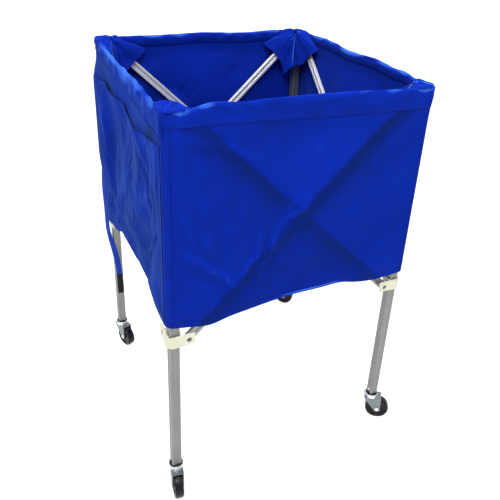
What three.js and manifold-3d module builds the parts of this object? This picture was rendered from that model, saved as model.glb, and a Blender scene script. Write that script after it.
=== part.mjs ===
// Folding ball cart: a square bag of nylon cloth hung on a folding frame of aluminium tube.
// Four upright legs stand on swivel casters. On each side two flat arms cross like scissors.
// Each arm hangs from the bracket at the top of one leg and ends on the sliding bracket of the
// next leg, so the whole frame closes like a gate while the sliding brackets run down the legs.
//
// Millimetres, +Z up. The floor is z = 0 and the origin lies under the middle of the whole
// outline, wheels included. The front faces -Y. The corners are built in the order front left,
// front right, back right, back left, each a quarter turn on from the last.

import * as THREE from "three";
import { mergeVertices } from "three/addons/utils/BufferGeometryUtils.js";
import Module from "manifold-3d";

const wasm = await Module();
wasm.setup();

// Overall sizes
const rimWidth = 600;
const rimHeight = 950;
const centreShiftX = -8;
const centreShiftY = 16;

// Gaps between pieces, and the overrun of a cutting tool
const seatGap = 0.3;
const slideGap = 0.4;
const overrun = 2;
const weldDistance = 1e-4;

// Legs: square fluted tube
const legSide = 22;
const legWall = 1.6;
const legCorner = 2.4;
const legFluteWidth = 9;
const legFluteDepth = 0.8;

// Arms: flat fluted tube
const armWidth = 20;
const armThickness = 9;
const armWall = 1.3;
const armCorner = 1;
const armFluteWidth = 5;
const armFluteDepth = 0.9;
const armEnd = 10;
const fluteSlope = 0.8;

// Plastic brackets at the leg tops and sliding on the legs
const collarWall = 3;
const earWall = 4;
const earEnd = 13;
const collarCorner = 9;
const collarSteps = 4;
const bracketHeight = 38;
const bracketCap = 3;
const topPivotDrop = 16;
const topEarRise = 12;
const sliderPivotHeight = 448;
const sliderPivotRise = 20;
const armSwingGap = 1.5;

// Pivot pins and screws
const pinRadius = 3;
const pinHoleRadius = 3.4;
const headRadius = 5.2;
const headHeight = 1.8;
const nutRadius = 5.4;
const nutHeight = 3;
const bossRadius = 7;
const pinSides = 10;

// Casters
const wheelDiameter = 64;
const wheelWidth = 21;
const wheelTrail = 20;
const treadRound = 3;
const hubRadius = 10;
const hubRecess = 3;
const rimInnerRadius = 23;
const wheelSides = 24;
const axleRadius = 3.6;
const axleHoleRadius = 4;
const axleHeadRadius = 6;
const axleHeadHeight = 1.6;
const forkSideGap = 1.2;
const forkWall = 2.2;
const forkHeadroom = 4;
const forkPlate = 2.5;
const forkFront = 18;
const forkBack = 28;
const forkToe = 9;
const forkToeStart = Math.PI * 1.1;
const forkToeSteps = 5;
const raceRadius = 15;
const raceTopRadius = 11.5;
const raceHeight = 8;
const kingpinRadius = 4.2;
const kingpinHoleRadius = 4.7;
const kingpinHeadRadius = 7;
const kingpinHeadHeight = 2.2;
const plugFlange = 5.5;
const plugDepth = 22;
const swivelDegrees = [-98, -35, -48, -70];

// Bag
const clothThickness = 1.8;
const bagGap = 0.4;
const rimBandHeight = 48;
const rimBandExtra = 1.6;
const hemCornerHeights = [488, 486, 484, 446];
const hemPeakHeights = [498, 497, 492, 514];
const hemPeakShares = [0.5, 0.5, 0.45, 0.7];
const panelColumns = 20;
const panelRows = 12;
const mostSag = 13;
const sagSlope = 0.21;
const armShelf = 20;
const floorHeight = 512;
const floorSlotGap = 4;
const floorLegGap = 3;

// Corner flaps: a cloth cap over each leg's top, with a wing along either side inside the rim.
// Each is made in two halves, one on either side of the bag.
const flapThickness = 1.5;
const flapReach = 125;
const flapCapReach = 70;
const flapFoldReach = 45;
const flapDrop = 88;
const flapTipDrop = 17;
const flapTipHeight = 5;

// Pocket on the left side
const pocketTopDrop = 78;
const pocketHeight = 352;
const pocketBulge = 8;
const pocketInset = 14;
const pocketSteps = 6;

// Tie strap, sewn on at the back left corner. Each row is a place on its way down from its sewn end:
// right and back from the leg's axis, up from the sliding bracket's pivot, and the turn of its width
const strapWidth = 16;
const strapThickness = 1.6;
const strapRoute = [
  [-23.2, 9.2, 152, -60],
  [-26.2, 8.2, 127, -60],
  [-24.2, 6.2, 82, -60],
  [-23.2, 3.2, 32, -60],
  [-23, -1.8, -24, -57],
  [-19.2, -8.8, -58, -45],
  [-11.2, -13.8, -98, -20],
  [-4.2, -15.3, -143, 0],
  [-0.7, -15.3, -186, 0],
];
const strapTipRoute = [
  [-0.6, -15.3, -186.6, 0],
  [0.2, -15.3, -220, 0],
  [0.8, -15.3, -254, 0],
];

// Worked out from the sizes above
const bagGrowth = rimBandExtra + clothThickness + bagGap;
const legAxis = rimWidth / 2 - bagGrowth - earWall - slideGap - legSide / 2;
const collarInner = legSide / 2 + slideGap;
const earOuter = collarInner + earWall;
const collarOuter = collarInner + collarWall;
const pivotOffset = collarOuter + armSwingGap + Math.hypot(armWidth / 2, armEnd);
const earReach = pivotOffset + earEnd;
const topPivotHeight = rimHeight - topPivotDrop;
const pivotSpan = 2 * (legAxis - pivotOffset);
const pivotDrop = topPivotHeight - sliderPivotHeight;
const armAngle = Math.atan2(pivotDrop, pivotSpan);
const pivotToPivot = Math.hypot(pivotSpan, pivotDrop);
const armPitch = armThickness + seatGap;
const outerArmFace = collarInner - seatGap;
const innerArmFace = outerArmFace - armPitch;
const innerArmBack = innerArmFace - armThickness;
const wheelRadius = wheelDiameter / 2;
const forkPlateBase = wheelDiameter + forkHeadroom;
const forkPlateTop = forkPlateBase + forkPlate;
const raceTop = forkPlateTop + raceHeight;
const plugBase = raceTop + seatGap;
const legBottom = plugBase + plugFlange + seatGap;
const topBracketTop = topPivotHeight + topEarRise;
const legTop = topBracketTop - bracketCap - seatGap;
const bagInner = legAxis + earOuter + bagGap;
const bagOuter = bagInner + clothThickness;
const bandBase = rimHeight - rimBandHeight;
const slackBase = Math.max(...hemPeakHeights, floorHeight) + overrun;
const armCrossHeight = (topPivotHeight + sliderPivotHeight) / 2;
const rivetFace = legAxis + outerArmFace + seatGap + headHeight;
const flapBase = topPivotHeight + Math.hypot(armWidth / 2, armEnd) + seatGap;

const aluminium = { color: 0xb9bcc0, roughness: 0.38, metalness: 0.85 };
const ivoryPlastic = { color: 0xe9e6d2, roughness: 0.55, metalness: 0 };
const blackPlastic = { color: 0x161616, roughness: 0.5, metalness: 0 };
const zincSteel = { color: 0xaeb4ba, roughness: 0.32, metalness: 0.9 };
const darkSteel = { color: 0x77787a, roughness: 0.4, metalness: 0.85 };
const blackTyre = { color: 0x101012, roughness: 0.6, metalness: 0 };
const blueNylon = { color: 0x1236a8, roughness: 0.62, metalness: 0 };
const blackHookTape = { color: 0x0d0d10, roughness: 0.85, metalness: 0 };

const cornerNames = ["front_left", "front_right", "back_right", "back_left"];
const sideNames = ["front", "right", "back", "left"];

// A geometry as a solid for cutting and joining
function toSolid(geometry) {
  const bare = geometry.clone();
  bare.deleteAttribute("normal");
  bare.deleteAttribute("uv");
  const merged = mergeVertices(bare, weldDistance);
  const corners = merged.index.array;
  const kept = [];
  for (let i = 0; i < corners.length; i += 3) {
    const [a, b, c] = [corners[i], corners[i + 1], corners[i + 2]];
    if (a !== b && b !== c && c !== a) kept.push(a, b, c);
  }
  return new wasm.Manifold(new wasm.Mesh({
    numProp: 3,
    vertProperties: Float32Array.from(merged.attributes.position.array),
    triVerts: Uint32Array.from(kept),
  }));
}

function toGeometry(solid) {
  const mesh = solid.getMesh();
  const geometry = new THREE.BufferGeometry();
  geometry.setAttribute("position", new THREE.BufferAttribute(Float32Array.from(mesh.vertProperties), 3));
  geometry.setIndex(new THREE.BufferAttribute(Uint32Array.from(mesh.triVerts), 1));
  return geometry;
}

function namedMesh(name, shape, finish) {
  const geometry = shape.isBufferGeometry ? shape : toGeometry(shape);
  const mesh = new THREE.Mesh(geometry, new THREE.MeshStandardMaterial(finish));
  mesh.name = name;
  return mesh;
}

// A box between two corners
function boxSolid(low, high) {
  const size = high.map((value, i) => value - low[i]);
  const box = new THREE.BoxGeometry(...size);
  box.translate(low[0] + size[0] / 2, low[1] + size[1] / 2, low[2] + size[2] / 2);
  return toSolid(box);
}

// A square post round the Z axis
function postSolid(side, base, top) {
  return boxSolid([-side / 2, -side / 2, base], [side / 2, side / 2, top]);
}

// A flat outline made into a slab along +Z
function slab(shape, depth, curveSegments = 1) {
  return new THREE.ExtrudeGeometry(shape, { depth, bevelEnabled: false, curveSegments });
}

// A turned piece about +Z from [radius, height] points listed upwards
function turned(profile, sides) {
  const points = profile.map(([radius, height]) => new THREE.Vector2(radius, height));
  const geometry = new THREE.LatheGeometry(points, sides);
  geometry.rotateX(Math.PI / 2);
  return geometry;
}

// A pin along +Z with stepped radii: [radius, length] for each step, from z = 0 upwards
function steppedPin(steps, sides) {
  const profile = [[0, 0]];
  let height = 0;
  for (const [radius, length] of steps) {
    profile.push([radius, height]);
    height += length;
    profile.push([radius, height]);
  }
  profile.push([0, height]);
  return toSolid(turned(profile, sides));
}

// The outline of a tube with a shallow flute along the middle of chosen faces
function flutedOutline(width, depth, corner, fluteWidth, fluteDepth, allFaces) {
  const shape = new THREE.Shape();
  const flute = (length) => [
    [-fluteWidth / 2 - fluteSlope, length],
    [-fluteWidth / 2, length - fluteDepth],
    [fluteWidth / 2, length - fluteDepth],
    [fluteWidth / 2 + fluteSlope, length],
  ];
  const points = [];
  for (let face = 0; face < 4; face += 1) {
    const across = face % 2 === 0 ? width / 2 : depth / 2;
    const out = face % 2 === 0 ? depth / 2 : width / 2;
    const line = [[-across + corner, out]];
    if (allFaces || face % 2 === 0) line.push(...flute(out));
    line.push([across - corner, out]);
    const turn = -face * Math.PI / 2;
    for (const [x, y] of line) points.push(new THREE.Vector2(x, y).rotateAround(new THREE.Vector2(), turn));
  }
  shape.setFromPoints(points.reverse());
  return shape;
}

function rectanglePath(width, depth) {
  const path = new THREE.Path();
  path.moveTo(-width / 2, -depth / 2);
  path.lineTo(width / 2, -depth / 2);
  path.lineTo(width / 2, depth / 2);
  path.lineTo(-width / 2, depth / 2);
  path.closePath();
  return path;
}

const legBore = legSide - 2 * (legWall + legFluteDepth);

function legTube() {
  const outline = flutedOutline(legSide, legSide, legCorner, legFluteWidth, legFluteDepth, true);
  outline.holes.push(rectanglePath(legBore, legBore));
  return slab(outline, legTop - legBottom);
}

// A stepped pin turned to lie along Y, its zero end at the given y and pointing to +Y
function pinAlongY(steps, x, y, z) {
  return steppedPin(steps, pinSides).rotate([-90, 0, 0]).translate([x, y, z]);
}

// An arm lies along X, its pivots at plus and minus half of pivotToPivot
function armTube() {
  const outline = flutedOutline(armWidth, armThickness, armCorner, armFluteWidth, armFluteDepth, false);
  const bore = [armWidth - 2 * armWall, armThickness - 2 * (armWall + armFluteDepth)];
  outline.holes.push(rectanglePath(...bore));
  const length = pivotToPivot + 2 * armEnd;
  const geometry = slab(outline, length);
  geometry.translate(0, 0, -length / 2);
  geometry.rotateY(Math.PI / 2);
  let tube = toSolid(geometry);
  const holeLength = armThickness + 2 * overrun;
  for (const x of [-pivotToPivot / 2, 0, pivotToPivot / 2]) {
    tube = tube.subtract(pinAlongY([[pinHoleRadius, holeLength]], x, -holeLength / 2, 0));
  }
  return tube;
}

// Plan of a bracket round a leg, whose axis is the origin: a square collar with a rounded outer
// corner and two ears, one along the front of the cart and one along its side
function bracketOutline() {
  const shape = new THREE.Shape();
  const bend = collarCorner - earOuter;
  shape.moveTo(bend, -earOuter);
  shape.lineTo(earReach, -earOuter);
  shape.lineTo(earReach, -collarInner);
  shape.lineTo(collarOuter, -collarInner);
  shape.lineTo(collarOuter, collarOuter);
  shape.lineTo(-collarInner, collarOuter);
  shape.lineTo(-collarInner, earReach);
  shape.lineTo(-earOuter, earReach);
  shape.lineTo(-earOuter, bend);
  shape.absarc(bend, bend, collarCorner, Math.PI, 1.5 * Math.PI);
  shape.holes.push(rectanglePath(2 * collarInner, 2 * collarInner));
  return shape;
}

// What stands on the front ear is turned a quarter turn and mirrored to stand on the side ear
function onSideEar(solid) {
  return solid.mirror([1, -1, 0]);
}

// The pin's steps inwards from the ear's inner face, for an arm in the outer or inner layer
function spacerLength(innerLayer) {
  return innerLayer ? armPitch : 0;
}

// The bracket fixed over a leg's top end, with its two riveted pivot pins
function topBracket() {
  let bracket = toSolid(slab(bracketOutline(), bracketHeight, collarSteps));
  const lidLow = [-earOuter, -earOuter, bracketHeight - bracketCap];
  bracket = bracket.add(boxSolid(lidLow, [collarOuter, collarOuter, bracketHeight])
    .intersect(toSolid(slab(lidOutline(), bracketHeight, collarSteps))));
  const pivotZ = bracketHeight - topEarRise;
  bracket = bracket.add(fixedPivot(true, pivotZ));
  return bracket.add(onSideEar(fixedPivot(false, pivotZ)));
}

function lidOutline() {
  const shape = new THREE.Shape();
  const bend = collarCorner - earOuter;
  shape.moveTo(bend, -earOuter);
  shape.lineTo(collarOuter, -earOuter);
  shape.lineTo(collarOuter, collarOuter);
  shape.lineTo(-earOuter, collarOuter);
  shape.lineTo(-earOuter, bend);
  shape.absarc(bend, bend, collarCorner, Math.PI, 1.5 * Math.PI);
  return shape;
}

function fixedPivot(innerLayer, pivotZ) {
  const spacer = spacerLength(innerLayer);
  const steps = [
    [bossRadius, earWall / 2 + spacer],
    [pinRadius, armThickness + 2 * seatGap],
    [nutRadius, nutHeight],
  ];
  return pinAlongY(steps, pivotOffset, -collarInner - earWall / 2, pivotZ);
}

// The bracket that slides on a leg, bored and recessed for its two pivot screws
function slider() {
  let bracket = toSolid(slab(bracketOutline(), bracketHeight, collarSteps));
  const bossLength = earWall / 2 + spacerLength(true);
  const bossBase = -collarInner - earWall / 2;
  const boss = pinAlongY([[bossRadius, bossLength]], pivotOffset, bossBase, sliderPivotRise);
  bracket = bracket.add(onSideEar(boss));
  bracket = bracket.subtract(screwHole(false));
  return bracket.subtract(onSideEar(screwHole(true)));
}

function screwHole(innerLayer) {
  const recess = headHeight + seatGap;
  const steps = [
    [headRadius + slideGap, overrun + recess],
    [pinHoleRadius, earWall - recess + spacerLength(innerLayer) + overrun],
  ];
  return pinAlongY(steps, pivotOffset, -earOuter - overrun, sliderPivotRise);
}

function pivotScrew(innerLayer) {
  const shank = earWall - headHeight - seatGap / 2 + spacerLength(innerLayer) + armThickness + 2 * seatGap;
  const steps = [
    [headRadius, headHeight],
    [pinRadius, shank],
    [nutRadius, nutHeight],
  ];
  return pinAlongY(steps, pivotOffset, -earOuter + seatGap / 2, sliderPivotRise);
}

// The rivet that joins two crossing arms, along Y from outside inwards
function crossRivet() {
  const steps = [
    [headRadius, headHeight],
    [pinRadius, 2 * armThickness + 3 * seatGap],
    [headRadius, headHeight],
  ];
  return pinAlongY(steps, 0, 0, 0);
}

// Plastic plug in the leg's lower end with the caster's kingpin; z = 0 is the floor
function legPlug() {
  const plugSide = legBore - 2 * seatGap;
  const flange = legSide - 2 * legFluteDepth;
  const body = postSolid(plugSide, plugBase, legBottom + plugDepth);
  const foot = postSolid(flange, plugBase, plugBase + plugFlange);
  const headBase = forkPlateBase - seatGap - kingpinHeadHeight;
  const steps = [
    [kingpinHeadRadius, kingpinHeadHeight],
    [kingpinRadius, plugBase - headBase - kingpinHeadHeight + plugFlange / 2],
  ];
  const kingpin = steppedPin(steps, pinSides).translate([0, 0, headBase]);
  return body.add(foot).add(kingpin);
}

// One cheek of the fork, drawn in the wheel's plane: a triangle that ends round the axle
function cheekOutline() {
  const shape = new THREE.Shape();
  shape.moveTo(-forkFront, forkPlateTop);
  shape.lineTo(-forkFront, forkPlateBase - forkPlate);
  shape.absarc(wheelTrail, wheelRadius, forkToe, forkToeStart, Math.PI * 2);
  shape.lineTo(forkBack, forkPlateBase - 2 * forkPlate);
  shape.lineTo(forkBack, forkPlateTop);
  return shape;
}

const cheekInner = wheelWidth / 2 + forkSideGap;
const cheekOuter = cheekInner + forkWall;

function caster() {
  const cheeks = [cheekInner, -cheekOuter].map((y) => {
    const plate = slab(cheekOutline(), forkWall, forkToeSteps);
    plate.rotateX(Math.PI / 2);
    plate.translate(0, y + forkWall, 0);
    return toSolid(plate);
  });
  const bridge = boxSolid([-forkFront, -cheekOuter, forkPlateBase], [forkBack, cheekOuter, forkPlateTop]);
  const raceProfile = [
    [0, forkPlateBase],
    [raceRadius, forkPlateBase],
    [raceRadius, forkPlateTop + forkPlate],
    [raceTopRadius, raceTop],
    [0, raceTop],
  ];
  const race = toSolid(turned(raceProfile, wheelSides));
  const boreBase = forkPlateBase - overrun;
  const boreSteps = [[kingpinHoleRadius, raceTop + overrun - boreBase]];
  const bore = steppedPin(boreSteps, pinSides).translate([0, 0, boreBase]);
  const boreEnd = cheekOuter + overrun;
  const axleBore = pinAlongY([[axleHoleRadius, 2 * boreEnd]], wheelTrail, -boreEnd, wheelRadius);
  return bridge.add(race).add(cheeks[0]).add(cheeks[1]).subtract(bore).subtract(axleBore);
}

function axle() {
  const steps = [
    [axleHeadRadius, axleHeadHeight],
    [axleRadius, 2 * (cheekOuter + seatGap)],
    [axleHeadRadius, axleHeadHeight],
  ];
  return pinAlongY(steps, 0, -cheekOuter - seatGap - axleHeadHeight, 0);
}

// A one-piece wheel about its own axis, which is Y: hub, recessed web and tyre
function wheel() {
  const half = wheelWidth / 2;
  const side = [
    [axleHoleRadius, half],
    [hubRadius, half],
    [hubRadius + hubRecess / 2, half - hubRecess],
    [rimInnerRadius, half - hubRecess],
    [rimInnerRadius + hubRecess / 2, half],
    [wheelRadius - treadRound, half],
    [wheelRadius, half - treadRound],
  ];
  const profile = side.map(([radius, height]) => [radius, -height]);
  for (const point of [...side].reverse()) profile.push(point);
  profile.push(profile[0]);
  const geometry = turned(profile, wheelSides);
  geometry.rotateX(-Math.PI / 2);
  return toSolid(geometry);
}

// How far the cloth hangs in at a place on a side. It is held along the legs, the floor and the
// rim band, lies over the outer arm, and is slack in the triangles between.
function clothSag(x, z) {
  const offArm = Math.abs((z - armCrossHeight) * Math.cos(armAngle) - x * Math.sin(armAngle));
  const onArm = bagInner - rivetFace - slideGap + sagSlope * Math.max(0, offArm - armWidth / 2 - armShelf);
  const fromEdge = Math.min(legAxis - earReach - Math.abs(x), bandBase - z, z - slackBase);
  return Math.max(0, Math.min(mostSag, onArm, sagSlope * fromEdge));
}

// A closed sheet between a front and a back grid of points. Both are listed in rows from the
// bottom up, and each row from left to right as seen from the front.
function sheetGeometry(front, back, columns) {
  const positions = [...front, ...back].flat();
  const rows = front.length / columns;
  const faces = [];
  const addQuad = (a, b, c, d) => faces.push(a, b, c, a, c, d);
  const edge = [];
  for (let row = 0; row < rows; row += 1) {
    for (let column = 0; column < columns; column += 1) {
      const here = row * columns + column;
      if (row + 1 === rows || column + 1 === columns) continue;
      addQuad(here, here + 1, here + columns + 1, here + columns);
      const behind = here + front.length;
      addQuad(behind, behind + columns, behind + columns + 1, behind + 1);
    }
  }
  for (let column = 0; column + 1 < columns; column += 1) edge.push(column);
  for (let row = 0; row + 1 < rows; row += 1) edge.push((row + 1) * columns - 1);
  for (let column = columns - 1; column > 0; column -= 1) edge.push((rows - 1) * columns + column);
  for (let row = rows - 1; row > 0; row -= 1) edge.push(row * columns);
  edge.forEach((point, i) => {
    const next = edge[(i + 1) % edge.length];
    addQuad(point, point + front.length, next + front.length, next);
  });
  const geometry = new THREE.BufferGeometry();
  geometry.setAttribute("position", new THREE.Float32BufferAttribute(positions, 3));
  geometry.setIndex(faces);
  return geometry;
}

// A side panel with the thicker folded band along its rim and half a corner flap at either end
function bagPanel(side) {
  const left = -bagInner + seatGap;
  const right = bagOuter;
  const hem = new THREE.SplineCurve([
    new THREE.Vector2(left, hemCornerHeights[side]),
    new THREE.Vector2(left + hemPeakShares[side] * (right - left), hemPeakHeights[side]),
    new THREE.Vector2(right, hemCornerHeights[(side + 1) % 4]),
  ]).getPoints(panelColumns);
  const front = [];
  const back = [];
  for (let row = 0; row <= panelRows; row += 1) {
    for (const point of hem) {
      const z = row > 0 ? THREE.MathUtils.lerp(slackBase, bandBase, (row - 1) / (panelRows - 1)) : point.y;
      const sag = clothSag(point.x, z);
      front.push([point.x, -bagOuter + sag, z]);
      back.push([point.x, -bagInner + sag, z]);
    }
  }
  for (const point of hem) {
    front.push([point.x, -bagOuter, rimHeight]);
    back.push([point.x, -bagInner, rimHeight]);
  }
  const cloth = toSolid(sheetGeometry(front, back, panelColumns + 1));
  const band = boxSolid([left, -rimWidth / 2, bandBase], [rimWidth / 2, -bagInner, rimHeight]);
  const flap = halfFlap();
  return cloth.add(band).add(flap).add(flap.mirror([1, 0, 0]));
}

// Half of a corner flap, at the left end of the front side: the cap that lies over the bracket and
// the arm ends, sewn to the rim band, and the wing that hangs down inside from the cap's fold.
// It is drawn from the leg's axis and mitred to the half that belongs to the next side.
function halfFlap() {
  const edge = legAxis - bagInner;
  const inner = collarOuter + slideGap + flapThickness;
  const cap = new THREE.Shape();
  const capPoints = [[edge + seatGap, edge - rimBandExtra / 2], [flapCapReach, edge - rimBandExtra / 2],
    [flapFoldReach, inner], [inner + seatGap, inner], [edge + seatGap, edge]];
  cap.setFromPoints(capPoints.map(([x, y]) => new THREE.Vector2(x, y)));
  const capSolid = toSolid(slab(cap, flapThickness)).translate([0, 0, flapBase]);
  const top = flapBase + flapThickness;
  const tip = flapReach + legAxis - rimWidth / 2;
  const wing = new THREE.Shape();
  const wingPoints = [[inner + seatGap, top], [inner + seatGap, top - flapDrop],
    [tip, top - flapTipDrop - flapTipHeight], [tip, top - flapTipDrop], [flapFoldReach, top]];
  wing.setFromPoints(wingPoints.map(([x, z]) => new THREE.Vector2(x, z)));
  const hanging = slab(wing, flapThickness);
  hanging.rotateX(Math.PI / 2);
  hanging.translate(0, inner, 0);
  return capSolid.add(toSolid(hanging)).translate([-legAxis, -legAxis, 0]);
}

// Where the arms have risen clear of the floor cloth, measured from the middle of the side
const armsClear = legAxis - pivotOffset - (floorHeight - sliderPivotHeight) / Math.tan(armAngle)
  - armWidth / 2 / Math.sin(armAngle) - floorSlotGap;
const floorEdge = bagInner - seatGap;
const floorSlot = legAxis + innerArmBack - floorSlotGap;
const floorNotch = 2 * (floorSlot + floorLegGap - legAxis + legSide / 2);

// A quarter of the bag's floor: a triangle from the front hem to the middle. Both ends of its
// hem are cut back so that the arms pass down to the sliding brackets, and its tips clear the legs.
function floorQuarter() {
  const apex = 2 * seatGap;
  const tip = floorSlot - floorNotch / 2;
  const half = [
    [armsClear, -floorEdge],
    [armsClear, -floorSlot],
    [floorSlot - floorNotch, -floorSlot],
    [tip - seatGap, -tip],
  ];
  const shape = new THREE.Shape();
  shape.moveTo(0, -apex);
  for (const [x, y] of [...half].reverse()) shape.lineTo(-x, y);
  for (const [x, y] of half) shape.lineTo(x, y);
  return slab(shape, clothThickness);
}

// Plan of the pocket: its wall bulges from the side panel, which is y = 0, and its back reaches
// the given distance behind that
function bulgeOutline(halfWidth, bulge, behind) {
  const shape = new THREE.Shape();
  shape.moveTo(-halfWidth, behind);
  shape.lineTo(-halfWidth, 0);
  shape.bezierCurveTo(-halfWidth, -bulge, -halfWidth / 2, -bulge, 0, -bulge);
  shape.bezierCurveTo(halfWidth / 2, -bulge, halfWidth, -bulge, halfWidth, 0);
  shape.lineTo(halfWidth, behind);
  return shape;
}

// The pocket is a wall and a bottom, open along its top. Its back is the bag's side panel.
function pocket() {
  const halfWidth = bagInner - pocketInset;
  const wall = toSolid(slab(bulgeOutline(halfWidth, pocketBulge, 0), pocketHeight, pocketSteps));
  const inside = bulgeOutline(halfWidth - clothThickness, pocketBulge - clothThickness, overrun);
  const hollow = toSolid(slab(inside, pocketHeight, pocketSteps));
  return wall.subtract(hollow.translate([0, 0, clothThickness]));
}

// A flat strap along a route, with the turn of its width about Z in degrees
function ribbon(route) {
  const positions = [];
  const centre = new THREE.Vector2();
  for (const [x, y, z, degrees] of route) {
    const turn = THREE.MathUtils.degToRad(degrees);
    const across = new THREE.Vector2(strapWidth / 2, 0).rotateAround(centre, turn);
    const through = new THREE.Vector2(0, strapThickness / 2).rotateAround(centre, turn);
    for (const [a, t] of [[-1, -1], [1, -1], [1, 1], [-1, 1]]) {
      positions.push(x + a * across.x + t * through.x, y + a * across.y + t * through.y, z);
    }
  }
  const faces = [0, 1, 2, 0, 2, 3];
  for (let ring = 0; ring + 1 < route.length; ring += 1) {
    for (let i = 0; i < 4; i += 1) {
      const [a, b] = [4 * ring + i, 4 * ring + (i + 1) % 4];
      faces.push(a, a + 4, b, b, a + 4, b + 4);
    }
  }
  const last = 4 * (route.length - 1);
  faces.push(last, last + 2, last + 1, last, last + 3, last + 2);
  const geometry = new THREE.BufferGeometry();
  geometry.setAttribute("position", new THREE.Float32BufferAttribute(positions, 3));
  geometry.setIndex(faces);
  return geometry;
}

// Everything that stands at one corner, with the leg's axis at the group's origin
function cornerGroup(index) {
  const corner = cornerNames[index];
  const group = new THREE.Group();
  const leg = namedMesh(`leg_${corner}`, legTube(), aluminium);
  leg.position.z = legBottom;
  const top = namedMesh(`top_bracket_${corner}`, topBracket(), ivoryPlastic);
  top.position.z = topBracketTop - bracketHeight;
  const sliding = namedMesh(`slider_${corner}`, slider(), ivoryPlastic);
  const outerScrew = namedMesh(`slider_screw_a_${corner}`, pivotScrew(false), darkSteel);
  const innerScrew = namedMesh(`slider_screw_b_${corner}`, onSideEar(pivotScrew(true)), darkSteel);
  for (const piece of [sliding, outerScrew, innerScrew]) {
    piece.position.z = sliderPivotHeight - sliderPivotRise;
  }
  const plug = namedMesh(`leg_plug_${corner}`, legPlug(), blackPlastic);
  group.add(leg, top, sliding, outerScrew, innerScrew, plug, casterGroup(index));
  return group;
}

function casterGroup(index) {
  const corner = cornerNames[index];
  const group = new THREE.Group();
  const fork = namedMesh(`caster_fork_${corner}`, caster(), zincSteel);
  const pin = namedMesh(`caster_axle_${corner}`, axle(), zincSteel);
  const roller = namedMesh(`caster_wheel_${corner}`, wheel(), blackTyre);
  pin.position.set(wheelTrail, 0, wheelRadius);
  roller.position.set(wheelTrail, 0, wheelRadius);
  group.add(fork, pin, roller);
  group.rotation.z = THREE.MathUtils.degToRad(swivelDegrees[index] - 90 * index);
  return group;
}

// Everything that stands along one side, drawn as the front side
function sideGroup(index) {
  const side = sideNames[index];
  const group = new THREE.Group();
  const outerArm = namedMesh(`arm_outer_${side}`, armTube(), aluminium);
  outerArm.position.set(0, -legAxis - outerArmFace + armThickness / 2, armCrossHeight);
  outerArm.rotation.y = -armAngle;
  const innerArm = namedMesh(`arm_inner_${side}`, armTube(), aluminium);
  innerArm.position.set(0, -legAxis - innerArmFace + armThickness / 2, armCrossHeight);
  innerArm.rotation.y = armAngle;
  const rivet = namedMesh(`cross_rivet_${side}`, crossRivet(), darkSteel);
  rivet.position.set(0, -legAxis - outerArmFace - seatGap - headHeight, armCrossHeight);
  const panel = namedMesh(`bag_panel_${side}`, bagPanel(index), blueNylon);
  const floor = namedMesh(`bag_floor_${side}`, floorQuarter(), blueNylon);
  floor.position.z = floorHeight - clothThickness;
  group.add(outerArm, innerArm, rivet, panel, floor);
  return group;
}

const cart = new THREE.Group();
cart.position.set(centreShiftX, centreShiftY, 0);
for (let quarter = 0; quarter < 4; quarter += 1) {
  const turn = quarter * Math.PI / 2;
  const corner = cornerGroup(quarter);
  const place = new THREE.Vector2(-legAxis, -legAxis).rotateAround(new THREE.Vector2(), turn);
  corner.position.set(place.x, place.y, 0);
  corner.rotation.z = turn;
  const side = sideGroup(quarter);
  side.rotation.z = turn;
  cart.add(corner, side);
}

const pocketMesh = namedMesh("bag_pocket", pocket(), blueNylon);
pocketMesh.position.set(-bagOuter - seatGap, 0, rimHeight - pocketTopDrop - pocketHeight);
pocketMesh.rotation.z = -Math.PI / 2;
cart.add(pocketMesh);
const strapGroup = new THREE.Group();
strapGroup.position.set(-legAxis, legAxis, sliderPivotHeight);
strapGroup.add(namedMesh("tie_strap", ribbon(strapRoute), blueNylon));
strapGroup.add(namedMesh("tie_strap_hook_tape", ribbon(strapTipRoute), blackHookTape));
cart.add(strapGroup);

export default cart;
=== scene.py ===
"""A folding ball cart: a blue nylon bag on a scissor frame of aluminium tube, on four casters."""
import math

import bmesh
import bpy
import numpy as np
from mathutils import Euler, Matrix, Vector


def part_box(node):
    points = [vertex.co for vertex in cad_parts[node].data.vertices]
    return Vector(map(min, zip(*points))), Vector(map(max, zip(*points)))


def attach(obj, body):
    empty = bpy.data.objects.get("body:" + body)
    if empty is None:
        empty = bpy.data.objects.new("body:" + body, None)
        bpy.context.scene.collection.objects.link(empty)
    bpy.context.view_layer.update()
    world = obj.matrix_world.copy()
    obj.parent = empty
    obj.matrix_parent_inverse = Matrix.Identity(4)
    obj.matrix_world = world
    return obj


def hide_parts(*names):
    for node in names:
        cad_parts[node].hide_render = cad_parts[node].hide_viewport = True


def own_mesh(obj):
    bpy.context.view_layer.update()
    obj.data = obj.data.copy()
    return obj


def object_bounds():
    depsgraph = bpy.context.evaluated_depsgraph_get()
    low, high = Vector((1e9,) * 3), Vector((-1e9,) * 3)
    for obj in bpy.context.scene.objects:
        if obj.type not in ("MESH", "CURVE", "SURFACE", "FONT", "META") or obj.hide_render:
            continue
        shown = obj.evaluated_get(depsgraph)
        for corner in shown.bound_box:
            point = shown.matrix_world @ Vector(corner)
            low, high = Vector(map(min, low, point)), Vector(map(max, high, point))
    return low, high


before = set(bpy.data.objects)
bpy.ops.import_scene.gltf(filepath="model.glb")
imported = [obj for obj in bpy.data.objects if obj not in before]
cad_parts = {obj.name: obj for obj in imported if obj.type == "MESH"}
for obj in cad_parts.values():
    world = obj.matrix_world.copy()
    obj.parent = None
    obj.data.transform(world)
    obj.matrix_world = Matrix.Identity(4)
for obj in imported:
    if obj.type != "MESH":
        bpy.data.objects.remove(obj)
cad_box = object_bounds()

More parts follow.
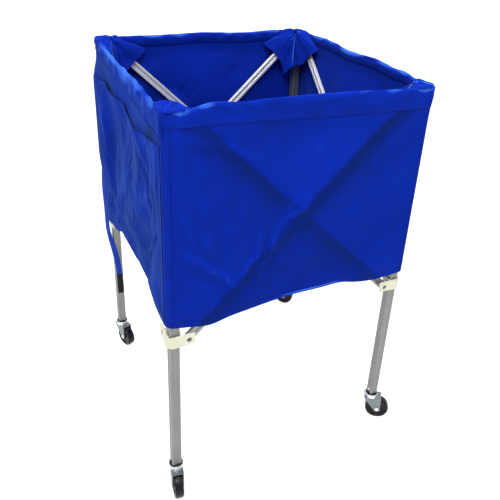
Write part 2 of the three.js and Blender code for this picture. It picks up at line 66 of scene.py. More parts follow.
# Camera: 1.25 m up, off the cart's front left corner and looking down into it.
# Its place, turns and lens were fitted to the rim, the hem and the legs of the photograph.
camera_place = Vector((-0.5535, -1.1639, 1.2491))
azimuth, elevation, roll = (math.radians(angle) for angle in (-26.94, 24.70, 3.159))
picture_width_px = 500
focal_px = 561.06
picture_middle_px = (264.23, 179.60)
backwards = Vector((math.sin(azimuth) * math.cos(elevation), -math.cos(azimuth) * math.cos(elevation),
                    math.sin(elevation)))
level_right = Vector((math.cos(azimuth), math.sin(azimuth), 0))
level_up = backwards.cross(level_right)
camera_right = level_right * math.cos(roll) + level_up * math.sin(roll)
camera_up = level_up * math.cos(roll) - level_right * math.sin(roll)


def put(name, data):
    """A new object for a mesh, a lamp or a camera, in the scene."""
    piece = bpy.data.objects.new(name, data)
    bpy.context.scene.collection.objects.link(piece)
    return piece


camera_data = bpy.data.cameras.new("camera")
camera_data.sensor_width = 36
camera_data.lens = focal_px * camera_data.sensor_width / picture_width_px
camera_data.shift_x = (picture_width_px / 2 - picture_middle_px[0]) / picture_width_px
camera_data.shift_y = (picture_middle_px[1] - picture_width_px / 2) / picture_width_px
camera = put("camera", camera_data)
camera_turn = Matrix((camera_right, camera_up, backwards)).transposed().to_quaternion()
camera.matrix_world = Matrix.LocRotScale(camera_place, camera_turn, None)
bpy.context.scene.camera = camera


# Studio: a wide white floor, an even white surround and three large soft lamps.
# The strongest lamp is high on the left, which gives the left side of the bag its pale sheen.
def new_material(name, **shader_values):
    """A material with one Principled shader, its constants set on the shader's own sockets."""
    material = bpy.data.materials.new(name)
    material.use_nodes = True
    shader = material.node_tree.nodes["Principled BSDF"]
    for socket, value in shader_values.items():
        shader.inputs[socket.replace("_", " ")].default_value = value
    return material


def graph(tree, nodes, links):
    """Adds named nodes to a tree, each a kind with its settings and input values, and joins them.
    A link reads node.output > node.input, where a number is the socket's place in its list."""
    made = {"shader": tree.nodes.get("Principled BSDF"), "world": tree.nodes.get("World Output"),
            "backdrop": tree.nodes.get("Background")}
    for name, described in nodes.items():
        kind, values = described if isinstance(described, tuple) else (described, {})
        made[name] = node = tree.nodes.new(kind if "Node" in kind else "ShaderNode" + kind)
        for entry, value in values.items():
            if str(entry).islower():
                setattr(node, entry, value)
            else:
                node.inputs[entry].default_value = value
    for link in links.split(","):
        ends = [end.strip().split(".") for end in link.split(">")]
        (source, output), (target, entry) = [
            (made[name], int(socket) if socket.isdigit() else socket) for name, socket in ends]
        tree.links.new(source.outputs[output], target.inputs[entry])
    return made


floor_reach = 12.0
floor_mesh = bpy.data.meshes.new("studio_floor")
floor_mesh.from_pydata(
    [(x * floor_reach, y * floor_reach, 0) for x, y in ((-1, -1), (1, -1), (1, 1), (-1, 1))],
    [], [(0, 1, 2, 3)])
floor_mesh.materials.append(new_material(
    "studio_floor", Base_Color=(0.42, 0.42, 0.42, 1), Roughness=0.95,
    Emission_Color=(1, 1, 1, 1), Emission_Strength=0.78))
studio_floor = put("studio_floor", floor_mesh)

surround = bpy.data.worlds.new("surround")
surround.use_nodes = True
surround.node_tree.nodes["Background"].inputs["Color"].default_value = (1, 1, 1, 1)
graph(surround.node_tree, {
    "room": "Background", "place": "TexCoord", "parts": "SeparateXYZ", "ray": "LightPath",
    "glow": ("MapRange", {"From Min": 0.0, "From Max": 0.9, "To Min": 0.28, "To Max": 1.9}),
    "either": "MixShader",
}, """place.Generated > parts.Vector, parts.Z > glow.Value, glow.Result > room.Strength,
    ray.Is Camera Ray > either.0, room.Background > either.1, backdrop.Background > either.2,
    either.Shader > world.Surface""")
bpy.context.scene.world = surround
bpy.context.scene.view_settings.view_transform = "Standard"

cart_middle = Vector(((cad_box[0][0] + cad_box[1][0]) / 2, (cad_box[0][1] + cad_box[1][1]) / 2, 0.65))
for lamp_name, lamp_place, lamp_size, lamp_power in (
    ("key_lamp", Vector((-0.9, -1.3, 3.1)), 1.2, 58),
    ("top_lamp", Vector((0.1, 0.2, 3.2)), 1.5, 38),
    ("front_lamp", Vector((0.9, -2.6, 1.9)), 1.8, 4),
):
    lamp_data = bpy.data.lights.new(lamp_name, "AREA")
    lamp_data.shape = "DISK"
    lamp_data.size = lamp_size
    lamp_data.energy = lamp_power
    lamp = put(lamp_name, lamp_data)
    lamp.location = lamp_place
    lamp.rotation_euler = (cart_middle - lamp_place).to_track_quat("-Z", "Y").to_euler()

# Legs and arms: fluted aluminium tube, extruded and clear anodised, so fine die lines run along
# each tube and the metal is a soft satin grey. The CAD nodes have the true section and stay.
corner_names = ("front_left", "front_right", "back_right", "back_left")
side_names = ("front", "right", "back", "left")
# The legs' tones are darker and the arms' lighter than their one aluminium: painted shade on the legs,
# painted light on the arms
leg_tones = ((0.15, 0.153, 0.146, 1), (0.25, 0.253, 0.242, 1))
arm_tones = ((0.58, 0.59, 0.61, 1), (0.80, 0.81, 0.83, 1))
die_lines = {"Scale": 420, "Detail": 3.0}
# Painted shade on the arms: full below the first height, none above the second
shaded_from, clear_from = 0.50, 0.66
# Painted shade line along the bottom of each arm's flute: its dark core, its soft edge and its offset from
# the arm's middle
groove_core, groove_edge, groove_depth = 0.0005, 0.0011, 0.0016


def aluminium_along(name, tilt, tones, metallic, low_shade_depth, groove=None):
    """Satin aluminium with painted shade low down, whose die lines run along Z once that is turned by tilt.
    The groove is the axis and place of the painted shade line along the bottom of an arm's flute."""
    material = new_material(name, Metallic=metallic, Roughness=0.42)
    nodes = {
        "place": "TexCoord", "turn": ("Mapping", {"Rotation": tilt}),
        "stretch": ("Mapping", {"Scale": (1, 1, 0.012)}), "lines": ("TexNoise", die_lines),
        "cloud": ("TexNoise", {"Scale": 14.0, "Detail": 4.0}),
        "tone": ("Mix", {"data_type": "RGBA", 6: tones[0], 7: tones[1]}),
        "mixed": ("Math", {"operation": "MULTIPLY_ADD", 1: 0.5}),
        "relief": ("Bump", {"Strength": 0.04, "Distance": 0.0002}),
        "rough": ("MapRange", {"To Min": 0.36, "To Max": 0.52}), "parts": "SeparateXYZ",
        "grime": ("MapRange", {"From Min": shaded_from, "From Max": clear_from, "To Min": 1 - low_shade_depth,
                               "To Max": 1.0}),
        "dull": ("VectorMath", {"operation": "SCALE"}),
    }
    links = """place.Object > turn.Vector, turn.Vector > stretch.Vector, stretch.Vector > lines.Vector,
        place.Object > cloud.Vector, lines.Fac > mixed.0, cloud.Fac > mixed.2, mixed.Value > tone.0,
        lines.Fac > relief.Height, relief.Normal > shader.Normal, cloud.Fac > rough.Value,
        rough.Result > shader.Roughness, place.Object > parts.Vector, parts.Z > grime.Value,
        tone.2 > dull.0, dull.Vector > shader.Base Color, """
    if groove:
        axis, line = groove
        nodes |= {
            "turned": "SeparateXYZ", "from_line": ("Math", {"operation": "SUBTRACT", 1: line}),
            "distance": ("Math", {"operation": "ABSOLUTE"}), "both": ("Math", {"operation": "MULTIPLY"}),
            "darker": ("MapRange", {"From Min": groove_core, "From Max": groove_edge, "To Min": 0.22,
                                    "To Max": 1.0}),
        }
        links += f"""turn.Vector > turned.Vector, turned.{axis} > from_line.0,
            from_line.Value > distance.0, distance.Value > darker.Value, darker.Result > both.0,
            grime.Result > both.1, both.Value > dull.Scale"""
    else:
        links += "grime.Result > dull.Scale"
    graph(material.node_tree, nodes, links)
    return material


upright = aluminium_along("aluminium_upright", (0, 0, 0), leg_tones, 0.8, 0.0)
for corner in corner_names:
    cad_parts[f"leg_{corner}"].data.materials[0] = upright
arm_low, arm_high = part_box("arm_outer_front")
arm_lean = math.atan2(arm_high.x - arm_low.x, arm_high.z - arm_low.z)
for side in side_names:
    along_x = side in ("front", "back")
    for layer, sign in (("outer", 1), ("inner", -1)):
        lean = arm_lean * (sign if side in ("front", "right") else -sign)
        tilt = (0, -lean, 0) if along_x else (lean, 0, 0)
        low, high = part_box(f"arm_{layer}_{side}")
        line = (Euler(tilt).to_matrix() @ ((low + high) / 2))[0 if along_x else 1]
        groove = ("X" if along_x else "Y", line + sign * groove_depth)
        metal = aluminium_along(f"aluminium_{layer}_{side}", tilt, arm_tones, 0.5, 0.62, groove)
        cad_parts[f"arm_{layer}_{side}"].data.materials[0] = metal


# Bag sides: four panels of thin blue nylon, sewn to each other down the corners and hung from the
# rim. They lie over the crossed arms, hang slack between them, and are hemmed along the bottom.
def mm_points(*numbers):
    """Pairs of numbers in millimetres as places in metres."""
    return [(x / 1000, y / 1000) for x, y in zip(numbers[::2], numbers[1::2])]


def mm_lines(*rows):
    """Rows of a width, a depth and a line's places, all in millimetres, as (line, width, depth)."""
    return [(mm_points(*row[2:]), row[0] / 1000, row[1] / 1000) for row in rows]


rim_half_width = (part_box("bag_panel_front")[1].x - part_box("bag_panel_back")[0].x) / 2
legs_low, legs_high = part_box("leg_front_left")[0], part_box("leg_back_right")[1]
cart_centre = Vector(((legs_low.x + legs_high.x) / 2, (legs_low.y + legs_high.y) / 2, 0))
cloth_out = rim_half_width - 0.0024
cloth_half_thickness = 0.0005
corner_bend = 0.012
bag_straight = cloth_out - corner_bend
bag_half_length = bag_straight + corner_bend * math.pi / 4
side_bodies = {"front": "corner_front_left", "right": "corner_front_right",
               "back": "corner_back_left", "left": "corner_front_left"}
hem_lines = {
    "front": mm_points(-300, 493, -253, 482, -206, 474, -160, 483, -113, 489, -40, 497, 60, 498, 124, 497,
                       155, 489, 218, 481, 300, 487),
    "right": mm_points(-300, 487, -220, 478, -150, 486, -50, 496, 60, 497, 150, 488, 220, 479, 300, 484),
    "back": mm_points(-300, 484, -220, 477, -150, 486, -30, 494, 60, 493, 150, 483, 230, 463, 300, 446),
    "left": mm_points(-300, 446, -230, 457, -158, 474, -105, 498, -20, 510, 64, 517, 135, 523, 163, 513,
                      192, 492, 235, 484, 300, 493),
}
arm_cross_height = 0.691
arm_slope = math.atan2(0.486, 0.501516)
rim_top = 0.95
band_bottoms = {"front": (0.9185, 0.9035), "right": (0.914, 0.906), "back": (0.912, 0.909),
                "left": (0.9335, 0.898)}


def on_side(turn, across, out, height):
    """Places on one side of the cart, drawn as the front side and turned by quarter turns."""
    angle = turn * math.pi / 2
    x = cart_centre.x + across * math.cos(angle) + out * math.sin(angle)
    y = cart_centre.y + across * math.sin(angle) - out * math.cos(angle)
    return np.stack(np.broadcast_arrays(x, y, height), axis=-1)


def round_the_corner(along, lift):
    """Across and out of a cloth line that bends round both corners, lifted along its normal."""
    beyond = np.clip(np.abs(along) - bag_straight, 0, None) / corner_bend
    bend = corner_bend + lift
    across = np.sign(along) * (np.minimum(np.abs(along), bag_straight) + bend * np.sin(beyond))
    return across, bag_straight + bend * np.cos(beyond)


def smooth_line(points, at):
    """Height of a smooth line through the points, read at the given places."""
    places, heights = np.array(points).T
    slopes = np.gradient(heights, places)
    step = np.clip(np.searchsorted(places, at) - 1, 0, len(places) - 2)
    width = places[step + 1] - places[step]
    t = np.clip((at - places[step]) / width, 0, 1)
    return ((1 + 2 * t) * (1 - t) ** 2 * heights[step] + t * (1 - t) ** 2 * width * slopes[step]
            + t * t * (3 - 2 * t) * heights[step + 1] + t * t * (t - 1) * width * slopes[step + 1])


def smooth_step(low, high, value):
    """0 below low, 1 above high, and a smooth rise between."""
    t = np.clip((value - low) / (high - low), 0, 1)
    return t * t * (3 - 2 * t)


def bell(value, width, power=2):
    """1 in the middle and 0 well away from it."""
    return np.exp(-(value / width) ** power)


def line_distance(points, across, height):
    """Signed distance from a bent line, how far along it each place lies, and its fade at the ends."""
    best = np.full(np.shape(across), 1e9)
    signed = np.zeros(np.shape(across))
    share = np.zeros(np.shape(across))
    for number, ((ax, az), (bx, bz)) in enumerate(zip(points, points[1:])):
        dx, dz = bx - ax, bz - az
        t = np.clip(((across - ax) * dx + (height - az) * dz) / (dx * dx + dz * dz), 0, 1)
        off_x, off_z = across - ax - t * dx, height - az - t * dz
        distance = np.hypot(off_x, off_z)
        nearer = distance < best
        best = np.where(nearer, distance, best)
        signed = np.where(nearer, distance * np.sign(dx * off_z - dz * off_x), signed)
        share = np.where(nearer, (number + t) / (len(points) - 1), share)
    return signed, share, np.clip(np.sin(np.pi * np.clip(share, 0.02, 0.98)), 0, 1) ** 0.5


def crease(points, width, height, across, up, lean=0.5):
    """A soft fold along a line: a ridge with a shallow valley below it, fading at both ends."""
    signed, _, fade = line_distance(points, across, up)
    return height * fade * (bell(signed, width) - lean * bell(signed + 1.7 * width, 1.2 * width))


def ripples(across, up, size, count, seed):
    """A sum of seeded waves of about the given size."""
    draw = np.random.default_rng(seed)
    total = np.zeros(np.shape(across))
    for _ in range(count):
        heading = draw.uniform(0, 2 * math.pi)
        wave = 2 * math.pi * draw.uniform(0.7, 1.4) / size
        total += np.sin(wave * (across * math.cos(heading) + up * math.sin(heading)) + draw.uniform(0, 6.28))
    return total / math.sqrt(count)


# Where the small creases lie on a side, and between which sizes they are drawn
crease_across, crease_up = (-0.27, 0.27), (0.5, 0.91)
crease_lengths, crease_widths, crease_heights = (0.02, 0.055), (0.003, 0.007), (0.0003, 0.0011)


def crumpled(across, up, seed, count):
    """Short soft creases scattered over a side, most of them steep, as worn thin nylon shows."""
    draw = np.random.default_rng(seed)
    total = np.zeros(np.shape(across))
    for _ in range(count):
        x, z = draw.uniform(*crease_across), draw.uniform(*crease_up)
        heading, length = draw.normal(math.pi / 2, 0.75), draw.uniform(*crease_lengths)
        width, height = draw.uniform(*crease_widths), draw.uniform(*crease_heights)
        reach = (across - x) * math.cos(heading) + (up - z) * math.sin(heading)
        off = (up - z) * math.cos(heading) - (across - x) * math.sin(heading) + 3 * reach ** 2 * draw.normal()
        ridge = bell(off, width) - 0.6 * bell(off / width + 1.6, 1)
        total = total + height * bell(reach, length) * ridge
    return total


def arm_offset(layer, across, up):
    """Distance above the middle line of an arm of the outer or inner layer."""
    lean = arm_slope if layer == "outer" else -arm_slope
    return (up - arm_cross_height) * math.cos(lean) - across * math.sin(lean)


sheet_step = 0.005
sheet_across = np.arange(-0.295, 0.2951, sheet_step)
sheet_up = np.arange(0.435, 0.951, sheet_step)
arm_lifts = {"inner": -0.0138, "outer": -0.0046}
arm_half_width = 0.0098
# The frame's places against the cloth when the cart is folded, at the cloth's open width
shut_cross_height = 0.590
shut_arm_runs = {"inner": -0.479, "outer": 0.479}
shut_arm_half_width = 0.0273
shut_leg_edge = 0.217
shut_bracket_edge = 0.129
shut_bracket_bottom = 0.903
# Where the open frame's brackets lie against the cloth, and where the floor is sewn to it
bracket_edge = 0.236
top_bracket_bottom, slider_top = 0.9, 0.472
floor_seam = (0.507, 0.517)
# How far in the cloth can go at each of these, and how fast it may fall away beside them
leg_lift, rivet_lift, ear_lift, bracket_lift, seam_lift = -0.005, -0.0024, -0.0002, 0.0004, -0.0006
open_slope, shut_slope, low_slope = 1.1, 0.5, 0.16
rivet_clearance = 0.0065
shut_stretch = 2.7
# Where the seams and the hem hold the cloth, its slack between them, and the rounds of relaxing
seam_held, hem_held = 0.284, 0.004
cloth_load, load_change = 3.4, 1.6
relax_rounds = 900


def frame_cover(across, up, margin):
    """How far in the cloth can go at each place before it meets an arm, a rivet, a leg or a bracket,
    both as the frame stands open and as it is folded."""
    def beyond(distance):
        return np.clip(distance - margin, 0, None)

    cover = np.full(np.shape(across), -1.0)
    for layer, stop in arm_lifts.items():
        from_arm = beyond(np.abs(arm_offset(layer, across, up)) - arm_half_width)
        from_shut = np.abs(across - shut_arm_runs[layer] * (up - shut_cross_height)) - shut_arm_half_width
        cover = np.maximum(cover, stop - open_slope * from_arm)
        cover = np.maximum(cover, stop - shut_slope * beyond(from_shut))
    open_rivet = np.hypot(across, up - arm_cross_height)
    shut_rivet = np.hypot(across / shut_stretch, up - shut_cross_height)
    ears = np.maximum(shut_bracket_edge - np.abs(across), shut_bracket_bottom - up)
    from_rivet = np.minimum(open_rivet, shut_rivet) - rivet_clearance
    for stop, slope, distance in ((leg_lift, shut_slope, shut_leg_edge - np.abs(across)),
                                  (rivet_lift, low_slope, from_rivet), (ear_lift, low_slope, ears)):
        cover = np.maximum(cover, stop - slope * beyond(distance))
    bracket = (np.abs(across) > bracket_edge - margin) & ((up > top_bracket_bottom) | (up < slider_top))
    cover = np.where(bracket, bracket_lift, cover)
    at_seam = (up > floor_seam[0] - 0.001) & (up < floor_seam[1] + 0.001)
    return np.where(at_seam, np.maximum(cover, seam_lift), cover)


def neighbours_mean(field):
    """The mean of the four neighbours of each place of a grid."""
    return (np.roll(field, 1, 0) + np.roll(field, -1, 0) + np.roll(field, 1, 1) + np.roll(field, -1, 1)) / 4


def band_bottom(side, across):
    """Height of the rim band's lower seam."""
    left, right = band_bottoms[side]
    return left + (right - left) * (across / (2 * rim_half_width) + 0.5)


def hung_cloth(side, seed):
    """How far the slack cloth stands in from the rim's line, relaxed over the arms like a skin."""
    across, up = np.meshgrid(sheet_across, sheet_up)
    at_hem = up < smooth_line(hem_lines[side], across) + hem_held
    held = (np.abs(across) > seam_held) | (up > band_bottom(side, across) - 0.002) | at_hem
    held = held | ((up > floor_seam[0]) & (up < floor_seam[1]))
    rest = np.where(at_hem, -0.002 * smooth_step(0.29, 0.25, np.abs(across)), 0)
    floor = frame_cover(across, up, sheet_step / 2)
    load = cloth_load + load_change * ripples(across, up, 0.22, 5, seed)
    lift = np.where(held, rest, -0.004)
    for _ in range(relax_rounds):
        lift = np.where(held, rest, np.maximum(neighbours_mean(lift) - load * sheet_step ** 2 / 4, floor))
    for _ in range(2):
        lift = (lift + neighbours_mean(lift)) / 2
    return np.where(held, rest, lift)


def read_sheet(field, across, up):
    """A field of the sheet grid, read between its points."""
    x = np.clip((across - sheet_across[0]) / sheet_step, 0, len(sheet_across) - 1.001)
    z = np.clip((up - sheet_up[0]) / sheet_step, 0, len(sheet_up) - 1.001)
    i, j = x.astype(int), z.astype(int)
    fx, fz = x - i, z - j
    return ((field[j, i] * (1 - fx) + field[j, i + 1] * fx) * (1 - fz)
            + (field[j + 1, i] * (1 - fx) + field[j + 1, i + 1] * fx) * fz)


# The folds that show on each side, as rows of width, depth and the line's places (across, height)
side_folds = {
    "front": mm_lines(
        (8.5, 4.6, -270, 657, -219, 621, -175, 581, -132, 538),
        (6, 4.2, -143, 552, -120, 597, -92, 628),
        (7, 2.2, -99, 717, -99, 549),
        (6, 2, -70, 712, -74, 601),
        (7, 1.8, -132, 778, -135, 690),
        (6, 2.6, -268, 749, -249, 692, -240, 660),
        (6, 2.4, -229, 699, -198, 630),
        (6, 1.8, -224, 762, -204, 648),
        (6, 3, -12, 730, -46, 705, -66, 652, -106, 551),
        (5, 2.6, -4, 688, -32, 668, -86, 604),
        (7, 2.2, 20, 670, 60, 628, 110, 600),
        (5, 2.4, 198, 583, 231, 556),
        (6, 4.6, 12, 742, 6, 715, -30, 699, -55, 676),
        (9, 2.2, -165, 735, -155, 660, -170, 600),
        (6, 3, -55, 665, -75, 620, -115, 570),
        (12, 3.4, -270, 895, -190, 872, -100, 825),
        (11, 0.8, -190, 900, -120, 870, -50, 800, -20, 720),
        (12, 2.4, 260, 890, 200, 840, 150, 800),
        (6, 2.8, -40, 503, 50, 507, 140, 502)),
    "right": mm_lines(
        (8, 4, -250, 660, -180, 600, -130, 550),
        (7, 3.5, 240, 700, 200, 630, 150, 580),
        (6, 2.5, -50, 700, -90, 620, -110, 550),
        (6, 2.2, 50, 660, 90, 600),
        (12, 3, -260, 890, -170, 860, -80, 800)),
    "back": mm_lines(
        (8, 3.6, -250, 740, -210, 660, -150, 580),
        (8, 4.2, 260, 660, 190, 600, 130, 530),
        (6, 2.2, 80, 700, 100, 620),
        (6, 2.6, -40, 670, -80, 590),
        (12, 3, 260, 880, 160, 850, 60, 790)),
    "left": mm_lines(
        (8, 3, -250, 700, -200, 620, -140, 560),
        (8, 3, 250, 700, 190, 620, 130, 570)),
}
# Painted highlights of each side, along ridges where the thin cloth is drawn tight, as rows of width,
# thousandths of light, and the line's places
side_highlights = {
    "front": mm_lines(
        (13, 110, -60, 694, -28, 714, 6, 752),
        (6, 60, -6, 694, -1, 720, 0, 765),
        (8, 60, -28, 702, -50, 670, -100, 585),
        (8, 80, -75, 712, -92, 650, -98, 560),
        (9, 80, -115, 720, -122, 650, -120, 600),
        (14, 120, -200, 688, -155, 688),
        (12, 100, -260, 600, -210, 565, -170, 550),
        (7, 120, 205, 590, 222, 567),
        (12, 100, 190, 600, 160, 610),
        (12, 100, -270, 862, -200, 845, -140, 822)),
    "right": mm_lines(
        (10, 200, 30, 700, 0, 720),
        (10, 150, -100, 600, -70, 650)),
    "back": mm_lines(
        (10, 200, -30, 700, 0, 730),
        (10, 150, 120, 620, 80, 660)),
    "left": [],
}
# The heavy back left corner stands out round: between these heights, by this much
flare_heights = (0.52, 0.67, 0.85, 0.925)
corner_flare = 0.0110
# How deep the drawn folds, the fan round the crossing, the soft swells and the rim's gathers are
fold_strength = 1.35
fan_depth, swell_depth, gather_depth = 0.0012, 0.0010, 0.0007
gather_pitch = 0.013
# The painted light of plain cloth, the painted light added above the arms and painted shade taken below, each
# arm's painted shadow, and the most
cloth_light, light_above, shade_below = 0.60, 0.14, 0.08
arm_shadows = {"outer": 0.55, "inner": 0.48}
most_painted_light = 0.93


def side_lift(side, seed, across, up):
    """The whole relief of one side: the hung cloth, its named folds and its small creases."""
    lift = read_sheet(hung_cloth(side, seed), across, up)
    hem = smooth_line(hem_lines[side], across)
    near_edges = smooth_step(0.287, 0.255, np.abs(across)) * smooth_step(0.0, 0.03, up - hem)
    near_edges = near_edges * smooth_step(0.915, 0.88, up)
    for line, width, height in side_folds[side]:
        lift = lift + near_edges * crease(line, width, fold_strength * height, across, up)
    outward = np.hypot(across, up - arm_cross_height)
    heading = np.arctan2(up - arm_cross_height, across)
    fan = np.cos(9 * heading + seed) * np.cos(5 * heading + 2 * seed)
    lift = lift + fan_depth * fan * smooth_step(0.012, 0.03, outward) * smooth_step(0.17, 0.05, outward)
    bent_across = across + 0.02 * ripples(across, up, 0.16, 3, seed + 5)
    bent_up = up + 0.02 * ripples(across, up, 0.14, 3, seed + 6)
    lift = lift + near_edges * swell_depth * ripples(bent_across, bent_up, 0.12, 5, seed + 1)
    lift = lift + near_edges * crumpled(across, up, seed + 2, 46)
    drawn = smooth_step(0.24, 0.29, np.abs(across)) * smooth_step(0.84, 0.92, up)
    lift = lift + gather_depth * drawn * np.sin(across * 2 * math.pi / gather_pitch + 3 * up / 0.05)
    soft = 0.0006
    lift = soft * np.logaddexp(lift / soft, frame_cover(across, up, 0.0015) / soft)
    lift = lift - np.clip(lift - 0.0001, 0, None) * smooth_step(0.895, 0.906, up)
    low, full, still, high = flare_heights
    towards = {"left": -across, "back": across}.get(side, -1 + 0 * across)
    flare = smooth_step(0.17, 0.275, towards) * smooth_step(low, full, up) * smooth_step(high, still, up)
    return lift + corner_flare * flare


def side_glow(side, across, up, lift, seed):
    """Painted light of a side's cloth: light from inside the bag painted in, the arms' painted shadows, and
    painted shade and highlights on its folds.
    """
    offsets = {layer: arm_offset(layer, across, up) for layer in ("outer", "inner")}
    shade = cloth_light + 0.05 * ripples(across, up, 0.26, 4, seed + 8)
    shade = shade + 0.03 * ripples(across, up, 0.05, 5, seed)
    # Painted light above both arms and painted shade below both
    upper = smooth_step(0.0, 0.03, np.minimum(*offsets.values()))
    lower = smooth_step(0.0, 0.03, -np.maximum(*offsets.values()))
    shade = shade + light_above * upper * smooth_step(0.93, 0.82, up) - shade_below * lower
    # Near the crossing the arms' painted shadows give way to a painted highlight
    centre = 1 - 0.85 * bell(np.hypot(across + 0.026, up - arm_cross_height - 0.018), 0.026)
    for layer, depth in arm_shadows.items():
        above = offsets[layer] + 0.0012 * ripples(across, up, 0.12, 3, seed + 9)
        band = smooth_step(0.014, 0.007, above) * bell(np.clip(-0.004 - above, 0, None), 0.021, 1.3)
        shade = shade - depth * band * smooth_step(0.275, 0.25, np.abs(across)) * centre
    # Painted shade where the cloth lies further in
    shade = np.clip(shade + 2.0 * (lift + 0.008), 0, 0.78)
    # Each fold gets a painted highlight on its ridge and painted shade in the valley below
    for line, width, height in side_folds[side]:
        signed, _, fade = line_distance(line, across, up)
        fold_highlight = bell(signed - 0.3 * width, 1.3 * width)
        dark = bell(signed + 2.2 * width, 1.6 * width)
        shade = shade + 34 * height * fade * (fold_highlight - 0.5 * dark)
    # Painted highlights along the listed ridges
    for line, width, amount in side_highlights[side]:
        signed, share, _ = line_distance(line, across, up)
        shade = shade + amount * bell(signed, width) * bell(share - 0.5, 0.42, 4)
    hem = smooth_line(hem_lines[side], across)
    # A painted highlight along the middle of the hem
    shade = shade + 0.42 * bell(across - 0.02, 0.11, 4) * bell(up - hem - 0.005, 0.0045)
    return np.clip(shade, 0, most_painted_light)


def smooth_piece(name, places, faces, material, weave=None, glow=None):
    """A smoothly shaded object from points and faces, cloth with its weave map and its glow of painted light.
    """
    mesh = bpy.data.meshes.new(name)
    mesh.from_pydata(places, [], faces)
    mesh.polygons.foreach_set("use_smooth", np.ones(len(faces), dtype=bool))
    if weave is not None:
        corners = np.zeros(len(mesh.loops), dtype=np.int32)
        mesh.loops.foreach_get("vertex_index", corners)
        mesh.uv_layers.new(name="weave").data.foreach_set("uv", weave.reshape(-1, 2)[corners].ravel())
        mesh.attributes.new("glow", "FLOAT", "POINT").data.foreach_set("value", glow.ravel())
    mesh.materials.append(material)
    return put(name, mesh)


def cloth_shell(name, outside, inside, weave, glow, material):
    """A closed thin shell between two grids of points."""
    rows, columns = outside.shape[:2]
    count = rows * columns
    index = np.arange(count).reshape(rows, columns)
    quads = np.stack([index[:-1, :-1], index[:-1, 1:], index[1:, 1:], index[1:, :-1]], axis=-1).reshape(-1, 4)
    edge = np.concatenate([index[0, :-1], index[:-1, -1], index[-1, :0:-1], index[:0:-1, 0]])
    onward = np.roll(edge, -1)
    wall = np.stack([onward, edge, edge + count, onward + count], axis=-1)
    faces = np.concatenate([quads, quads[:, ::-1] + count, wall])
    places = np.concatenate([outside.reshape(-1, 3), inside.reshape(-1, 3)])
    return smooth_piece(name, places.tolist(), faces.tolist(), material,
                        np.stack([weave, weave]), np.stack([glow, glow]))


blue_nylon = new_material("blue_nylon", Roughness=0.47, Sheen_Weight=0.15, Sheen_Roughness=0.4,
                          Sheen_Tint=(0.20, 0.44, 1, 1), Specular_IOR_Level=0.0)
threads = {"wave_type": "BANDS", "Scale": 260.0, "Distortion": 0.6, "Detail": 1.0}
nylon_nodes = graph(blue_nylon.node_tree, {
    "glow": ("Attribute", {"attribute_name": "glow"}), "place": "TexCoord", "ramp": "ValToRGB",
    "cloud": ("TexNoise", {"Scale": 9.0, "Detail": 5.0}),
    "shade": ("Math", {"operation": "MULTIPLY_ADD", 1: 0.22}),
    "centred": ("Math", {"operation": "SUBTRACT", 1: 0.11}),
    "warp": ("TexWave", threads | {"bands_direction": "X"}),
    "weft": ("TexWave", threads | {"bands_direction": "Y"}), "woven": ("Math", {"operation": "ADD"}),
    "crumple": ("TexNoise", {"Scale": 34.0, "Detail": 6.0, "Distortion": 0.7}),
    "fine": ("Bump", {"Strength": 0.28, "Distance": 0.00012}),
    "soft": ("Bump", {"Strength": 0.32, "Distance": 0.0012}),
    "rough": ("MapRange", {"To Min": 0.40, "To Max": 0.56}),
}, """glow.Fac > shade.2, cloud.Fac > shade.0, shade.Value > centred.0, centred.Value > ramp.Fac,
    ramp.Color > shader.Base Color, place.Object > cloud.Vector, place.Object > crumple.Vector,
    place.UV > warp.Vector, place.UV > weft.Vector, warp.Fac > woven.0, weft.Fac > woven.1,
    woven.Value > fine.Height, crumple.Fac > soft.Height, soft.Normal > fine.Normal,
    fine.Normal > shader.Normal, cloud.Fac > rough.Value, rough.Result > shader.Roughness""")
# The ramp turns the cloth's painted light into colour: its darkest end is painted shade and its palest end
# painted highlight
nylon_ramp = nylon_nodes["ramp"].color_ramp
nylon_ramp.elements[0].color = (0.003, 0.012, 0.12, 1)
nylon_ramp.elements[1].color = (0.05, 0.19, 0.80, 1)
nylon_ramp.elements.new(0.45).color = (0.003, 0.014, 0.20, 1)
nylon_ramp.elements.new(0.8).color = (0.003, 0.018, 0.30, 1)

panel_columns, panel_rows = 190, 140
seam_width = 0.0105
hem_depth = 0.012
fold_over = 0.0007
side_grids = {}
for turn, side in enumerate(side_names):
    along = np.linspace(-bag_half_length, bag_half_length, panel_columns)[None, :]
    near_across = round_the_corner(along, 0)[0]
    hem = smooth_line(hem_lines[side], near_across)
    up = hem + (rim_top - 0.006 - hem) * np.linspace(0, 1, panel_rows)[:, None]
    across = np.broadcast_to(near_across, up.shape)
    lift = side_lift(side, turn * 11 + 3, across, up)
    seam_edge = bag_half_length - seam_width
    doubled = smooth_step(seam_edge - 0.0012, seam_edge, np.abs(along))
    hemmed = smooth_step(hem_depth + 0.0015, hem_depth, up - hem)
    thick = np.maximum(doubled, hemmed) * fold_over
    outside = on_side(turn, *round_the_corner(along, lift + cloth_half_thickness + thick), up)
    inside = on_side(turn, *round_the_corner(along, lift - cloth_half_thickness - thick * 0.4), up)
    side_grids[side] = outside
    weave = np.stack(np.broadcast_arrays(along, up), axis=-1)
    # Painted shade along the edge of each corner seam's doubled strip and along the top of the hem
    glow = side_glow(side, across, up, lift, turn) - 0.4 * bell(np.abs(along) - seam_edge, 0.0016)
    glow = glow - 0.25 * bell(up - hem - hem_depth, 0.0018)
    panel = cloth_shell(f"bag_side_{side}", outside, inside, weave, glow, blue_nylon)
    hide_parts(f"bag_panel_{side}")
    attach(panel, side_bodies[side])
    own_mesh(panel)


